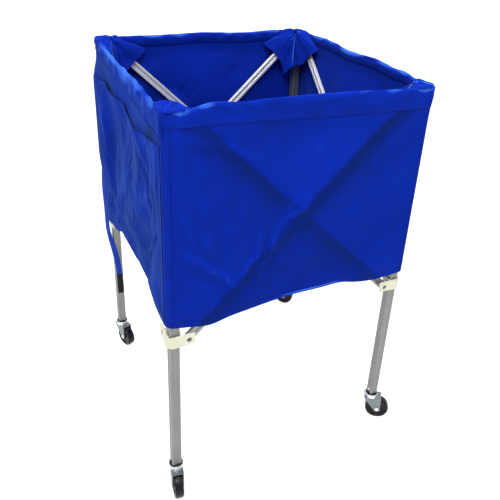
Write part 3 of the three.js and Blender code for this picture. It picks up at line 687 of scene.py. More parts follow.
# Rim band: a strip of the same nylon folded over the bag's upper edge and sewn down on both sides.
# Outside it is deep and bulges in soft dents, inside it is narrow, and it gathers at the corners.
band_tops = {
    "front": mm_points(-300, 950, -245, 951, -205, 960, -160, 955.5, -100, 957, 0, 956.5, 90, 956,
                       190, 951.5, 300, 950),
    "right": mm_points(-300, 950, -225, 952, -195, 957.5, -165, 955.5, -90, 961, 20, 957, 140, 964,
                       230, 962, 300, 961),
    "back": mm_points(-300, 961, -220, 965, -110, 961, 10, 965, 130, 962, 230, 962, 300, 961),
    "left": mm_points(-300, 961, -200, 963, -110, 958, 20, 957, 140, 957, 225, 952, 300, 950),
}
# The dents of the band, as rows of width, depth and the line's places (across, height)
band_folds = {
    "front": mm_lines(
        (6.5, 3.4, -225, 962, -186, 951, -155, 938, -122, 915),
        (8, 2.4, -160, 962, -125, 945, -105, 920),
        (7, 2.6, 30, 925, 90, 934, 112, 953),
        (7, 2, 200, 955, 215, 930, 200, 910)),
    "right": mm_lines(
        (8, 2.8, -100, 960, -50, 940, -40, 915),
        (7, 2.6, 100, 915, 150, 940, 160, 957)),
    "back": mm_lines(
        (7, 3, -170, 957, -130, 935, -100, 915),
        (8, 2.6, 50, 957, 80, 930, 70, 912)),
    "left": mm_lines(
        (8, 3, -50, 957, 0, 940, 30, 915),
        (7, 2.8, 130, 957, 160, 935, 200, 920),
        (7, 2.4, -200, 957, -170, 940)),
}
# Cross-section from the outer seam over the top to the inner seam, in millimetres: lift, share of the
# way from the seam to the top on the outside, and height below the top on the inside. It ends inside
# the cloth.
band_section = ((2.1, 0.0, None), (2.4, 0.09, None), (2.7, 0.2, None), (2.9, 0.35, None), (3.1, 0.5, None),
                (3.1, 0.65, None), (3, 0.78, None), (2.7, 0.88, None), (2.1, 0.95, None), (1, None, 0.6),
                (-0.8, None, 0), (-2.6, None, 0.8), (-4.1, None, 3), (-4.9, None, 6.8), (-4.8, None, 10.5),
                (-4.2, None, 14), (-3, None, 17.8), (-1.9, None, 20.5), (-1, None, 21.2),
                (-0.2, None, 20.8), (0.2, 0.01, None))
# Painted highlights on the folded edge: along, height and width in millimetres, and thousandths of light
band_highlights = {
    "front": ((-268, 947, 12, 200), (-215, 953, 16, 200), (-155, 930, 40, 160), (-90, 925, 30, 120),
              (100, 940, 30, 120), (160, 930, 20, 80), (270, 948, 20, 200)),
    "right": ((-250, 952, 30, 200), (-195, 956, 12, 220), (-130, 958, 20, 160), (50, 950, 50, 150),
              (180, 962, 30, 150)),
    "back": ((-200, 963, 40, 150), (160, 962, 50, 150)),
    "left": ((30, 951, 70, 100), (140, 951, 70, 120), (235, 944, 30, 160), (-100, 953, 70, 100),
             (-200, 955, 50, 120), (100, 938, 120, 160), (-100, 938, 120, 140)),
}
# How far each side's inner seam lies below its top
band_insides = {"front": 0.0212, "right": 0.026, "back": 0.029, "left": 0.025}
band_columns = 260
# The band's lasting dents, how much of the sides' crumpling it shows, and its gathers near the corners
dent_depth, crumple_share = 0.0018, 0.8
pleat_pitch, pleat_depth, pleat_rise = 0.019, 0.0013, 0.0016


def band_places(side, turn, along):
    """The band of one side as rows round its section and columns along the rim."""
    across = round_the_corner(along, 0)[0]
    top = smooth_line(band_tops[side], across)
    bottom = band_bottom(side, across) + 0.0012 * ripples(across, across * 0, 0.07, 4, turn + 40)
    near_corner = smooth_step(0.222, 0.236, np.abs(across))
    gather = smooth_step(0.225, 0.275, np.abs(across))
    pleat = gather * ripples(across, across * 0, pleat_pitch, 3, turn + 60)
    lifts, heights = [], []
    for lift, share, drop in band_section:
        lift = lift / 1000
        drop = None if drop is None else drop / 1000
        inside_drop = (drop or 0) * band_insides[side] / band_insides["front"]
        up = bottom + (top - 0.0012 - bottom) * share if drop is None else top - inside_drop
        relief = sum(crease(line, width, depth, across, up, lean=0.8)
                     for line, width, depth in band_folds[side])
        relief = relief + dent_depth * ripples(across, 1.6 * up, 0.06, 5, turn + 50)
        relief = relief + crumple_share * crumpled(across, 0.45 + 5 * (up - 0.90), turn + 75, 44)
        relief = relief * smooth_step(bottom, bottom + 0.012, up)
        relief = relief + pleat_depth * pleat * smooth_step(bottom, bottom + 0.02, up)
        if lift > 0:
            lifts.append(lift + np.maximum(relief, -0.0014))
        else:
            kept = lift * (1 - near_corner) + np.maximum(lift, -0.0009) * near_corner
            shown = 0.7 if drop is not None and drop < 0.009 else 0
            lifts.append(kept + relief * (1 - near_corner) * shown)
        heights.append(up + pleat_rise * pleat * (1 - smooth_step(0.0, 0.022, top - up)))
    return on_side(turn, *round_the_corner(along, np.stack(lifts)), np.stack(heights)), np.stack(heights)


def closed_tube(name, rings, weave, glow, material):
    """A closed tube through rows round its section, with both ends filled."""
    rows, columns = rings.shape[:2]
    index = np.arange(rows * columns).reshape(rows, columns)
    onward = np.roll(index, -1, axis=0)
    quads = np.stack([index[:, :-1], index[:, 1:], onward[:, 1:], onward[:, :-1]], axis=-1).reshape(-1, 4)
    faces = quads.tolist() + [index[:, 0].tolist(), index[::-1, -1].tolist()]
    return smooth_piece(name, rings.reshape(-1, 3).tolist(), faces, material, weave, glow)


band_rings = {}
along = np.linspace(-bag_half_length, bag_half_length, band_columns)
around = 0.004 * np.arange(1, len(band_section) + 1)[:, None]
weave = np.stack(np.broadcast_arrays(along[None, :], around), axis=-1)
for turn, side in enumerate(side_names):
    band_rings[side], up = band_places(side, turn, along)
    rim_line = smooth_line(band_tops[side], round_the_corner(along, 0)[0])
    # Painted light on the band: lighter towards its top, with its painted highlights
    glow = 0.60 + 0.07 * ripples(along + 0 * up, up, 0.09, 4, turn + 70)
    glow = glow + 0.17 * smooth_step(-0.016, -0.002, up - rim_line)
    for place, height, wide, amount in np.array(band_highlights[side]) / 1000:
        glow = glow + amount * bell(along - place, wide) * bell(up - height, 0.0085)
    band = closed_tube(f"rim_band_{side}", band_rings[side], weave, np.clip(glow, 0, 0.9), blue_nylon)
    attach(band, side_bodies[side])
    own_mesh(band)


# Corner flaps: over each leg's top the rim is drawn in and tied, and the loose cloth falls inside
# as a pleated flap with a wing along either side. Each half is sewn to its own side of the bag.
tie_place = (0.2640, 0.2640, 0.9545)
low_tie, high_tie = -0.0022, 0.0075
tie_rises = {"front": (low_tie, low_tie), "right": (low_tie, high_tie), "back": (high_tie, high_tie),
             "left": (high_tie, low_tie)}
# Edge of each half round the tie: share of the turn, then across, out and height in millimetres
flap_edges = {
    "start": ((0.0, 295.8, 295.8, 951), (0.06, 289, 299.4, 951.2), (0.13, 276, 299.8, 951.4),
              (0.21, 257, 299, 952.2), (0.29, 238, 296, 953), (0.36, 218, 292.5, 947),
              (0.44, 193, 290, 937.5), (0.5, 173, 288.5, 929), (0.54, 173, 287, 924),
              (0.63, 198, 271.5, 906), (0.73, 218, 268.5, 886), (0.82, 230, 265.5, 864),
              (0.89, 236, 262.5, 845), (0.94, 248, 261, 853), (1.0, 260, 260, 863)),
    "end": ((0.0, 295.8, 295.8, 951), (0.06, 289, 299.4, 951.2), (0.13, 276, 299.8, 951.4),
            (0.21, 257, 299, 952.2), (0.29, 238, 296, 953), (0.36, 218, 292.5, 947.5),
            (0.44, 194, 290.5, 938.5), (0.5, 177, 288.5, 931), (0.54, 177, 287, 926), (0.63, 198, 280, 904),
            (0.73, 216, 274, 886), (0.82, 232, 269, 876), (0.9, 246, 264, 869), (1.0, 260, 260, 863)),
}
# Pleats of the hanging part: where round the tie, how wide, and how far they stand in
flap_pleats = {
    "start": ((1.0, 0.070, 0.0200), (0.76, 0.060, 0.0032), (0.57, 0.030, 0.0012)),
    "end": ((1.0, 0.070, 0.0200), (0.80, 0.055, 0.0045), (0.60, 0.040, 0.0030)),
}
flap_turns, flap_rings = 96, 32
# How far each half's wing reaches along the rim, as a share of its full length, and how far it drops
wing_lengths = {"front": (0.45, 0.5), "right": (1, 1), "back": (1, 1), "left": (1, 0.45)}
wing_drops = {"front": (0.016, 0.020), "right": (0.030, 0), "back": (0, 0), "left": (0, 0.016)}
wing_start = 0.252


def half_flap(side, turn, end, around, reach):
    """The cloth of half a flap as a grid of places across, out and up."""
    is_end = end == "end"
    knots = np.array(flap_edges[end]) / (1, 1000, 1000, 1000)
    edge = np.stack([smooth_line(knots[:, (0, column)], around) for column in (1, 2, 3)], axis=-1)
    rim = smooth_line(band_tops[side], edge[:, 0] * (1 if is_end else -1)) - 0.0016
    short = wing_lengths[side][is_end]
    edge[:, 0] = np.where(edge[:, 0] < wing_start, wing_start + (edge[:, 0] - wing_start) * short, edge[:, 0])
    on_rim = smooth_step(0.33, 0.27, around)
    wing = smooth_step(0.27, 0.40, around) * smooth_step(0.66, 0.54, around)
    edge[:, 2] += (rim - edge[:, 2]) * on_rim
    edge[:, 1] += 0.0014 * on_rim
    edge[:, 0] += 0.0012 * smooth_step(0.12, 0.0, around)
    edge[:, 2] -= wing_drops[side][is_end] * wing
    draw = np.random.default_rng(turn * 2 + is_end + 7)
    wobble = 1 + 0.03 * (1 - on_rim) * np.sin(around * 2 * math.pi * draw.uniform(2, 4) + draw.uniform(0, 6))
    tie = np.array(tie_place) + (0, 0, tie_rises[side][is_end])
    places = tie + (edge - tie) * (reach * wobble)[:, :, None]
    hang = smooth_step(0.42, 0.56, around)
    lean = 0.7 * smooth_step(0.6, 1.0, around)
    inward = np.stack([-lean, -np.sqrt(1 - lean ** 2), 0 * around], axis=-1)
    stand = 0.0022 + sum(depth * bell(around - place, width) for place, width, depth in flap_pleats[end])
    fall = reach ** 0.75 * (1.12 - 0.3 * reach)
    places = places + (hang * stand)[:, None] * fall[:, :, None] * inward
    pleats = np.cos(2 * math.pi * around / 0.16 + draw.uniform(0, 6)) * (1 - smooth_step(0.36, 0.5, around))
    swell = np.clip(np.sin(np.pi * np.clip(reach, 0, 1)), 0, 1) ** 0.7
    places[:, :, 2] += 0.0016 * swell * (1 - hang) + 0.0024 * swell * pleats
    places[:, :, 2] += (0.0034 if short == 1 else 0.0026) * on_rim * smooth_step(1.0, 0.90, reach)
    places[:, :, 1] -= 0.0012 * swell * pleats
    small = 0.0006 * ripples(reach * 0.1 + 0 * around, around * 0.3 + 0 * reach, 0.04, 4, turn + 90)
    return places + (small * smooth_step(0.1, 0.4, reach))[:, :, None] * inward


around = np.linspace(0, 1, flap_turns)
reach = 0.04 + 0.96 * (1 - (1 - np.linspace(0, 1, flap_rings)[:, None]) ** 1.7)
weave = np.stack(np.broadcast_arrays(around * 0.25, reach * 0.12), axis=-1)
# Painted light on the flaps: a painted highlight along the hanging tube with painted shade in the valley
# beside it, painted light and shade on the gathers, and a darker line along the seam
tube = bell(around - 0.985, 0.05) * (1 - reach) ** 0.3 - 0.9 * bell(around - 0.90, 0.035) * (1 - reach) ** 0.5
gathered = bell(reach - 0.2, 0.16) * np.cos(around * 2 * math.pi * 7) * (around < 0.45)
sewn = bell(around - 0.455, 0.007) * smooth_step(0.15, 0.35, reach)
glow = np.clip(0.66 + 0.02 * np.cos(around * 23) + 0.36 * tube - 0.5 * sewn + 0.26 * gathered, 0, most_painted_light)
for turn, side in enumerate(side_names):
    for end in ("start", "end"):
        places = half_flap(side, turn, end, around, reach)
        mirror = -1 if end == "start" else 1
        middle = on_side(turn, mirror * places[:, :, 0], places[:, :, 1], places[:, :, 2])
        normal = np.cross(np.gradient(middle, axis=1), np.gradient(middle, axis=0))
        normal /= np.maximum(np.linalg.norm(normal, axis=2, keepdims=True), 1e-9)
        middle, normal = middle[:, ::mirror], mirror * normal[:, ::mirror]
        flap = cloth_shell(f"corner_flap_{side}_{end}", middle + normal * cloth_half_thickness,
                           middle - normal * cloth_half_thickness, weave, glow, blue_nylon)
        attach(flap, side_bodies[side])
        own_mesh(flap)


# Pocket: one more layer of the same nylon across the left side, sewn down both ends and into the
# hem, and open along its top, where the slack edge stands off the bag in a few places.
pocket_half_length = bag_half_length - seam_width - 0.001
pocket_top = mm_points(-290, 872, -220, 871, -160, 874.5, -128, 866, -60, 865.5, -14, 862.5, 3, 853.5,
                       45, 855, 92, 852.5, 140, 859, 189, 867, 211, 871, 250, 878, 290, 886)
# Where the mouth stands off: along, how wide, how far, in millimetres
pocket_gaps = ((-145, 30, 4), (-10, 22, 3.2), (100, 35, 3.2), (205, 20, 4.2))
# Its folds, as rows of width, depth and the line's places, and the share of the depth that is used
pocket_folds = mm_lines(
    (13, 4.2, -106, 850, -125, 760, -158, 653),
    (12, 3, 31, 850, 22, 790, 16, 701),
    (13, 3.6, 113, 852, 155, 810, 211, 765),
    (10, 2.4, -232, 532, -170, 510, -117, 505),
    (12, 3.2, 199, 669, 170, 720, 136, 776),
    (15, 3.8, 69, 638, 160, 720, 251, 804),
    (14, 2.4, -11, 715, 100, 700, 203, 706),
    (16, 2.8, -246, 571, -70, 573, 105, 593),
    (14, 2.4, -158, 567, 10, 565, 188, 586),
    (14, 3.2, -250, 830, -210, 750, -200, 660),
    (12, 2.8, 265, 850, 250, 760, 262, 680))
pocket_fold_share = 0.7
pocket_columns, pocket_rows = 190, 120
# How far the pocket stands off the bag at its seams, how much further between them, its ripples, the
# least it stands off, and where its mouth's hem begins and is at its full thickness
seam_off, slack_off, ripple_off, least_off = 0.0020, 0.0026, 0.0014, 0.0019
mouth_hem = (0.0125, 0.011)
along = np.linspace(-pocket_half_length, pocket_half_length, pocket_columns)[None, :]
near_across = round_the_corner(along, 0)[0]
hem = smooth_line(hem_lines["left"], near_across) + 0.0012
mouth = smooth_line(pocket_top, near_across)
up = hem + (mouth - hem) * np.linspace(0, 1, pocket_rows)[:, None]
across = np.broadcast_to(near_across, up.shape)
left_turn = side_names.index("left")
edges = smooth_step(pocket_half_length, pocket_half_length - 0.03, np.abs(along))
edges = edges * smooth_step(0.0, 0.035, up - hem)
off = seam_off + slack_off * edges + ripple_off * edges * ripples(across, up, 0.13, 5, 301)
for line, width, height in pocket_folds:
    off = off + edges * crease(line, width, pocket_fold_share * height, across, up, lean=0.6)
off = off + pocket_fold_share * edges * crumpled(across, up, 302, 34)
for place, width, depth in np.array(pocket_gaps) / 1000:
    off = off + depth * bell(across - place, width) * smooth_step(0.075, 0.0, mouth - up)
lift = side_lift("left", left_turn * 11 + 3, across, up) + np.maximum(off, least_off)
lip = smooth_step(*mouth_hem, mouth - up) * fold_over
pocket_grid = on_side(left_turn, *round_the_corner(along, lift + cloth_half_thickness + lip), up)
inside = on_side(left_turn, *round_the_corner(along, lift - cloth_half_thickness - lip * 0.3), up)
weave = np.stack(np.broadcast_arrays(along, up + 0.2), axis=-1)
# Painted light on the pocket: lighter where it stands further off the bag; it is also lighter towards its top
glow = 0.46 + 0.10 * ripples(across, up, 0.2, 4, 303) + 18 * (off - 0.005)
glow = np.clip(glow + 0.16 * smooth_step(0.74, 0.86, up), 0, 0.9)
pocket = cloth_shell("side_pocket", pocket_grid, inside, weave, glow, blue_nylon)
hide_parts("bag_pocket")
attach(pocket, side_bodies["left"])
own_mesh(pocket)


# Bag floor: four quarters of the same cloth, sewn along the hems and to each other. The arms pass
# down beside them, and they sag a little under their own weight.
floor_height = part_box("bag_floor_front")[1].z - 0.0009
floor_rows, floor_columns = 56, 96
hem_edge = cloth_out - 0.0022
slot_edge = 0.2694
arms_clear = 0.1660
slot_reach = 0.2640
floor_sag, floor_ripple, floor_pucker = 0.013, 0.0012, 0.0018
away = np.linspace(0.0008, 1, floor_rows)[:, None]
cross = np.linspace(-1, 1, floor_columns)[None, :]
half = np.minimum(away * slot_edge + 0.0014, slot_reach)
across = cross * half
tab = smooth_step(arms_clear + 0.004, arms_clear - 0.002, np.abs(across))
out = away * slot_edge + (hem_edge - slot_edge) * tab * smooth_step(0.85, 1, away)
middle = np.maximum(np.abs(across), out) / hem_edge
loose = (1 - middle) * (1 - np.abs(cross) ** 6)
weave = np.stack([across, out], axis=-1)[::-1]
for turn, side in enumerate(side_names):
    sag = floor_sag * (1 - middle ** 2) + floor_ripple * ripples(across + turn, out, 0.07, 5, 7) * loose
    if turn % 2:
        sag = sag + 0.0012 * smooth_step(0.0085, 0.0035, half - np.abs(across))
    sag = sag + floor_pucker * (1 - middle) * np.cos(np.arctan2(across, out) * 9) * middle
    top = on_side(turn, across, out, floor_height - sag + cloth_half_thickness)
    under = on_side(turn, across, out, floor_height - sag - cloth_half_thickness)
    glow = np.clip(0.45 + 0.15 * ripples(across + turn, out, 0.2, 4, 8), 0, 1)
    quarter = cloth_shell(f"floor_cloth_{side}", top[::-1], under[::-1], weave, glow[::-1], blue_nylon)
    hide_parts(f"bag_floor_{side}")
    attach(quarter, f"floor_{side}")
    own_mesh(quarter)


# Stitches: lockstitch rows in blue thread along the rim band, the hem, the corner seams and the
# pocket's mouth. Each is a small long bead of thread that lies half sunk in the cloth.
def geometry_tree(name, entries, nodes, links):
    """A geometry tree with the named inputs, which ends in real geometry with its material set."""
    tree = bpy.data.node_groups.new(name, "GeometryNodeTree")
    for entry, kind in {"Geometry": "Geometry", **entries, "Material": "Material"}.items():
        tree.interface.new_socket(entry, in_out="INPUT", socket_type=f"NodeSocket{kind}")
    tree.interface.new_socket("Geometry", in_out="OUTPUT", socket_type="NodeSocketGeometry")
    ends = {"in": "NodeGroupInput", "out": "NodeGroupOutput", "set": "GeometryNodeInstanceOnPoints",
            "turn": "FunctionNodeAlignRotationToVector", "real": "GeometryNodeRealizeInstances",
            "finish": "GeometryNodeSetMaterial"}
    graph(tree, ends | nodes, links + """, turn.Rotation > set.Rotation, set.Instances > real.Geometry,
        real.Geometry > finish.Geometry, in.Material > finish.Material, finish.Geometry > out.Geometry""")
    return tree


def plain_mesh(draft, name):
    """The mesh that a draft object's modifiers make. The draft is removed."""
    view = bpy.context.evaluated_depsgraph_get()
    mesh = bpy.data.meshes.new_from_object(draft.evaluated_get(view), depsgraph=view)
    bpy.data.objects.remove(draft)
    mesh.name = name
    return mesh


def grow(name, tree, places, edges, attributes, values):
    """Runs a geometry tree on a mesh of points and edges and returns its result as a plain object."""
    mesh = bpy.data.meshes.new(name)
    mesh.from_pydata([tuple(place) for place in places], edges, [])
    for attribute, vectors in attributes.items():
        field = mesh.attributes.new(attribute, "FLOAT_VECTOR", "POINT")
        field.data.foreach_set("vector", np.array(vectors, dtype=float).ravel())
    seed = put(name + "_seed", mesh)
    modifier = seed.modifiers.new("grow", "NODES")
    modifier.node_group = tree
    for item in tree.interface.items_tree:
        if item.item_type == "SOCKET" and item.in_out == "INPUT" and item.name in values:
            modifier[item.identifier] = values[item.name]
    result = plain_mesh(seed, name)
    result.polygons.foreach_set("use_smooth", np.ones(len(result.polygons), dtype=bool))
    return put(name, result)


stitch_tree = geometry_tree("stitch_rows", {"Pitch": "Float", "Length": "Float", "Thread": "Float"}, {
    "curve": "GeometryNodeMeshToCurve", "points": ("GeometryNodeResampleCurve", {"mode": "LENGTH"}),
    "bead": ("GeometryNodeMeshUVSphere", {"Segments": 6, "Rings": 4, "Radius": 1.0}),
    "half": ("Math", {"operation": "MULTIPLY", 1: 0.5}), "size": "CombineXYZ",
    "tangent": "GeometryNodeInputTangent", "turn": ("FunctionNodeAlignRotationToVector", {"axis": "X"}),
}, """in.Geometry > curve.Mesh, curve.Curve > points.Curve, in.Pitch > points.Length,
    points.Curve > set.Points, bead.Mesh > set.Instance, tangent.Tangent > turn.Vector,
    in.Length > half.0, half.Value > size.X, in.Thread > size.Y, in.Thread > size.Z,
    size.Vector > set.Scale""")

blue_thread = new_material("blue_thread", Roughness=0.5, Specular_IOR_Level=0.1)
graph(blue_thread.node_tree, {
    "place": "TexCoord",
    "twist": ("TexWave", {"bands_direction": "DIAGONAL", "Scale": 520.0, "Distortion": 1.0}),
    "tone": ("Mix", {"data_type": "RGBA", 6: (0.003, 0.016, 0.22, 1), 7: (0.005, 0.030, 0.38, 1)}),
}, "place.Object > twist.Vector, twist.Fac > tone.0, tone.2 > shader.Base Color")
thread = {"Pitch": 0.0040, "Length": 0.0030, "Thread": 0.00042, "Material": blue_thread}
for side in side_names:
    outside, rings = side_grids[side], band_rings[side]
    rows = [rings[1], rings[2], rings[-3], outside[3], outside[4:-16, 2], outside[4:-16, -3]]
    if side == "left":
        rows += [pocket_grid[-3], pocket_grid[2:-2, 2], pocket_grid[2:-2, -3]]
    places, edges = [], []
    for row in rows:
        edges += [(len(places) + step, len(places) + step + 1) for step in range(len(row) - 1)]
        places += list(row)
    stitches = grow(f"stitches_{side}", stitch_tree, places, edges, {}, thread)
    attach(stitches, side_bodies[side])
    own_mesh(stitches)


# Tie strap: 16 mm ribbed nylon webbing sewn to the bag at the back left corner, which hangs down
# beside the leg and ends in a patch of black hook tape. It ties the cart shut when folded.
strap_half_width = 0.008
strap_half_thickness = 0.0008
strap_section = ((-1, -0.55), (-0.9, -0.95), (-0.45, -1), (0, -0.96), (0.45, -1), (0.9, -0.95), (1, -0.55),
                 (1, 0.55), (0.9, 0.95), (0.45, 1), (0, 0.96), (-0.45, 1), (-0.9, 0.95), (-1, 0.55))
strap_route = ((-18.2, 17.0, 186, -134), (-21.2, 15.0, 171, -112), (-23.2, 11.4, 149, -86),
               (-23.6, 8.8, 121, -68), (-23.6, 6.4, 82, -60), (-23.0, 3.2, 32, -60),
               (-23, -1.8, -24, -57), (-19.2, -8.8, -58, -45), (-11.2, -13.8, -98, -20),
               (-4.2, -15.3, -143, 0), (-0.7, -15.3, -186, 0))
hook_tape_route = ((-0.6, -15.3, -186.6, 0), (0.2, -15.3, -220, 0), (0.8, -15.3, -254, 0))
leg_low, leg_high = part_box("leg_back_left")
strap_origin = np.array([(leg_low.x + leg_high.x) / 2, (leg_low.y + leg_high.y) / 2, 0.448])


def ribbon(name, route, steps, thickness, material, bow):
    """Webbing along a route of places in millimetres from the leg, with the turn of its width."""
    knots = np.array(route, dtype=float)
    at, fine = np.linspace(0, 1, len(knots)), np.linspace(0, 1, steps)
    x, y, z, turn = (smooth_line(np.stack([at, knots[:, column]], axis=-1), fine) for column in range(4))
    centre = strap_origin + np.stack([x, y, z], axis=-1) / 1000
    turn = np.radians(turn)
    across = np.stack([np.cos(turn), np.sin(turn), 0 * turn], axis=-1)
    through = np.stack([-np.sin(turn), np.cos(turn), 0 * turn], axis=-1)
    rings = []
    for a, t in strap_section:
        out = t * thickness + bow * (a * a - 0.4)
        rings.append(centre + across * (a * strap_half_width) + through * out)
    rings = np.stack(rings)
    widths = np.array(strap_section)[:, :1] * strap_half_width
    weave = np.stack(np.broadcast_arrays(widths, z / 1000), axis=-1)
    return closed_tube(name, rings, weave, np.full(rings.shape[:2], 0.5), material)


def woven_tape(name, dark, bright, ribs, rough):
    """Woven tape: cross ribs and a fine twill from its own UV map, with a little wear."""
    material = new_material(name, Roughness=rough, Specular_IOR_Level=0.12)
    twill = {"bands_direction": "DIAGONAL", "Scale": ribs * 1.4, "Distortion": 0.8}
    graph(material.node_tree, {
        "place": "TexCoord", "twill": ("TexWave", twill), "joined": ("Math", {"operation": "ADD"}),
        "rib": ("TexWave", {"bands_direction": "Y", "Scale": ribs, "Distortion": 0.4}),
        "wear": ("TexNoise", {"Scale": 60.0, "Detail": 5.0}),
        "tone": ("Mix", {"data_type": "RGBA", 6: dark, 7: bright}),
        "relief": ("Bump", {"Strength": 0.5, "Distance": 0.0003}),
    }, """place.UV > rib.Vector, place.UV > twill.Vector, place.Object > wear.Vector, wear.Fac > tone.0,
        rib.Fac > joined.0, twill.Fac > joined.1, joined.Value > relief.Height,
        relief.Normal > shader.Normal, tone.2 > shader.Base Color""")
    return material


blue_webbing = woven_tape("blue_webbing", (0.003, 0.02, 0.22, 1), (0.006, 0.045, 0.42, 1), 190.0, 0.55)
black_hooks = woven_tape("black_hook_tape", (0.004, 0.004, 0.005, 1), (0.02, 0.02, 0.022, 1), 420.0, 0.85)
strap = ribbon("webbing_strap", strap_route, 90, strap_half_thickness, blue_webbing, 0.0006)
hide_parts("tie_strap")
hooks = ribbon("hook_tape_patch", hook_tape_route, 30, strap_half_thickness * 1.15, black_hooks, 0.0004)
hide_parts("tie_strap_hook_tape")
for tape in (strap, hooks):
    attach(tape, side_bodies["back"])
    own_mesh(tape)


# Brackets: injection-moulded ivory plastic, one fixed over each leg's top and one sliding on each
# leg. Their edges are softly rounded, and the surface is satin with faint flow marks.
merge_distance = 2e-6
flat_angle, sharp_angle = 0.02, math.radians(42)


def rounded_copy(name, node, radius, segments, material, change=None):
    """A copy of a CAD node with its doubles merged and its sharp edges rounded."""
    shape = bmesh.new()
    shape.from_mesh(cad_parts[node].data)
    bmesh.ops.remove_doubles(shape, verts=shape.verts, dist=merge_distance)
    bmesh.ops.dissolve_limit(shape, angle_limit=flat_angle, verts=shape.verts, edges=shape.edges)
    if change:
        change(shape)
    copy = bpy.data.meshes.new(name)
    shape.to_mesh(copy)
    shape.free()
    copy.materials.clear()
    copy.polygons.foreach_set("use_smooth", np.ones(len(copy.polygons), dtype=bool))
    draft = put(name + "_draft", copy)
    edges = draft.modifiers.new("edges", "BEVEL")
    edges.width = radius
    edges.segments = segments
    edges.limit_method = "ANGLE"
    edges.angle_limit = sharp_angle
    edges.use_clamp_overlap = True
    draft.modifiers.new("shading", "WEIGHTED_NORMAL").weight = 60
    mesh = plain_mesh(draft, name)
    mesh.materials.append(material)
    return put(name, mesh)


def cloudy(name, dark, bright, rough, cloud, grain, depth, spread, **shader_values):
    """A material that is cloudy in tone and gloss, with a fine relief of grain or scratches."""
    material = new_material(name, Roughness=rough, **shader_values)
    graph(material.node_tree, {
        "place": "TexCoord", "cloud": ("TexNoise", cloud), "grain": ("TexNoise", grain),
        "tone": ("Mix", {"data_type": "RGBA", 6: dark, 7: bright}),
        "relief": ("Bump", {"Strength": depth, "Distance": 0.0002}),
        "gloss": ("MapRange", {"To Min": rough - spread[0], "To Max": rough + spread[1]}),
    }, """place.Object > cloud.Vector, place.Object > grain.Vector, cloud.Fac > tone.0,
        grain.Fac > relief.Height, relief.Normal > shader.Normal, cloud.Fac > gloss.Value,
        gloss.Result > shader.Roughness, tone.2 > shader.Base Color""")
    return material


def moulded_plastic(name, dark, bright, rough, grain, depth, **shader_values):
    """Moulded plastic: faint flow clouds in its colour, and a fine sparked grain."""
    return cloudy(name, dark, bright, rough, {"Scale": 38.0, "Detail": 4.0, "Distortion": 0.4},
                  {"Scale": grain, "Detail": 2.0}, depth, (0.06, 0.08), **shader_values)


ivory = moulded_plastic("ivory_plastic", (0.52, 0.515, 0.385, 1), (0.64, 0.635, 0.50, 1), 0.42, 900.0, 0.12)
bracket_rounding = 0.0011
slider_low, slider_high = 0.4362, 0.4618
slider_corner, slider_face, slider_swell = 0.017, 0.0154, 0.0026
bow_first = slider_face - 0.009
bow_last = slider_face + slider_swell - slider_corner
first_cut, cut_step, cut_count = 0.0118, 0.0045, 6


def bow(shape, centre, outward):
    """Rounds the sliding bracket's outer face round the leg and trims it to the mould's height."""
    for step in range(1, cut_count + 1):
        for direction in (Vector((1, 0, 0)), Vector((0, 1, 0))):
            for sign in (-1, 1):
                bmesh.ops.bisect_plane(shape, geom=shape.verts[:] + shape.edges[:] + shape.faces[:],
                                       plane_co=centre + direction * sign * (first_cut + cut_step * step),
                                       plane_no=direction)
    for vertex in shape.verts:
        vertex.co.z = min(max(vertex.co.z, slider_low), slider_high)
        out = [(vertex.co.x - centre.x) * outward[0], (vertex.co.y - centre.y) * outward[1]]
        past = (out[0] - bow_first, out[1] - bow_first)
        if min(past) > -0.0002 and math.hypot(*past) > 0.0088:
            heading = math.atan2(past[1], past[0])
            out = [bow_last + slider_corner * math.cos(heading), bow_last + slider_corner * math.sin(heading)]
        elif max(out) > slider_face - 0.0003:
            facing = 0 if out[0] > out[1] else 1
            along = -out[1 - facing]
            along += (bow_first - bow_last) * (1 - float(smooth_step(-bow_first, 0.020, along)))
            out[1 - facing] = -along
            out[facing] += slider_swell * (1 - float(smooth_step(-bow_last, 0.026, along)))
        vertex.co.x = centre.x + out[0] * outward[0]
        vertex.co.y = centre.y + out[1] * outward[1]


for corner in corner_names:
    low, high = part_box(f"leg_{corner}")
    middle = (low + high) / 2
    outward = (math.copysign(1, middle.x - cart_centre.x), math.copysign(1, middle.y - cart_centre.y))
    for kind, body, change in (("top_bracket", f"corner_{corner}", None),
                               ("slider", f"slider_{corner}",
                                lambda shape: bow(shape, middle, outward))):
        moulding = rounded_copy(f"moulded_{kind}_{corner}", f"{kind}_{corner}", bracket_rounding, 3,
                                ivory, change)
        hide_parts(f"{kind}_{corner}")
        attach(moulding, body)


# Pivot screws and rivets: steel screws with domed heads and locknuts join the arms to the sliding
# brackets, a domed rivet joins each pair of arms, and a blind rivet holds each caster's plug.
def worn_metal(name, dark, bright, rough, metallic):
    """Plated steel or bare alloy: cloudy in tone and gloss, with fine scratches."""
    return cloudy(name, dark, bright, rough, {"Scale": 95.0, "Detail": 5.0, "Distortion": 0.5},
                  {"Scale": 700.0, "Detail": 3.0, "Distortion": 2.0}, 0.10, (0.08, 0.10), Metallic=metallic)


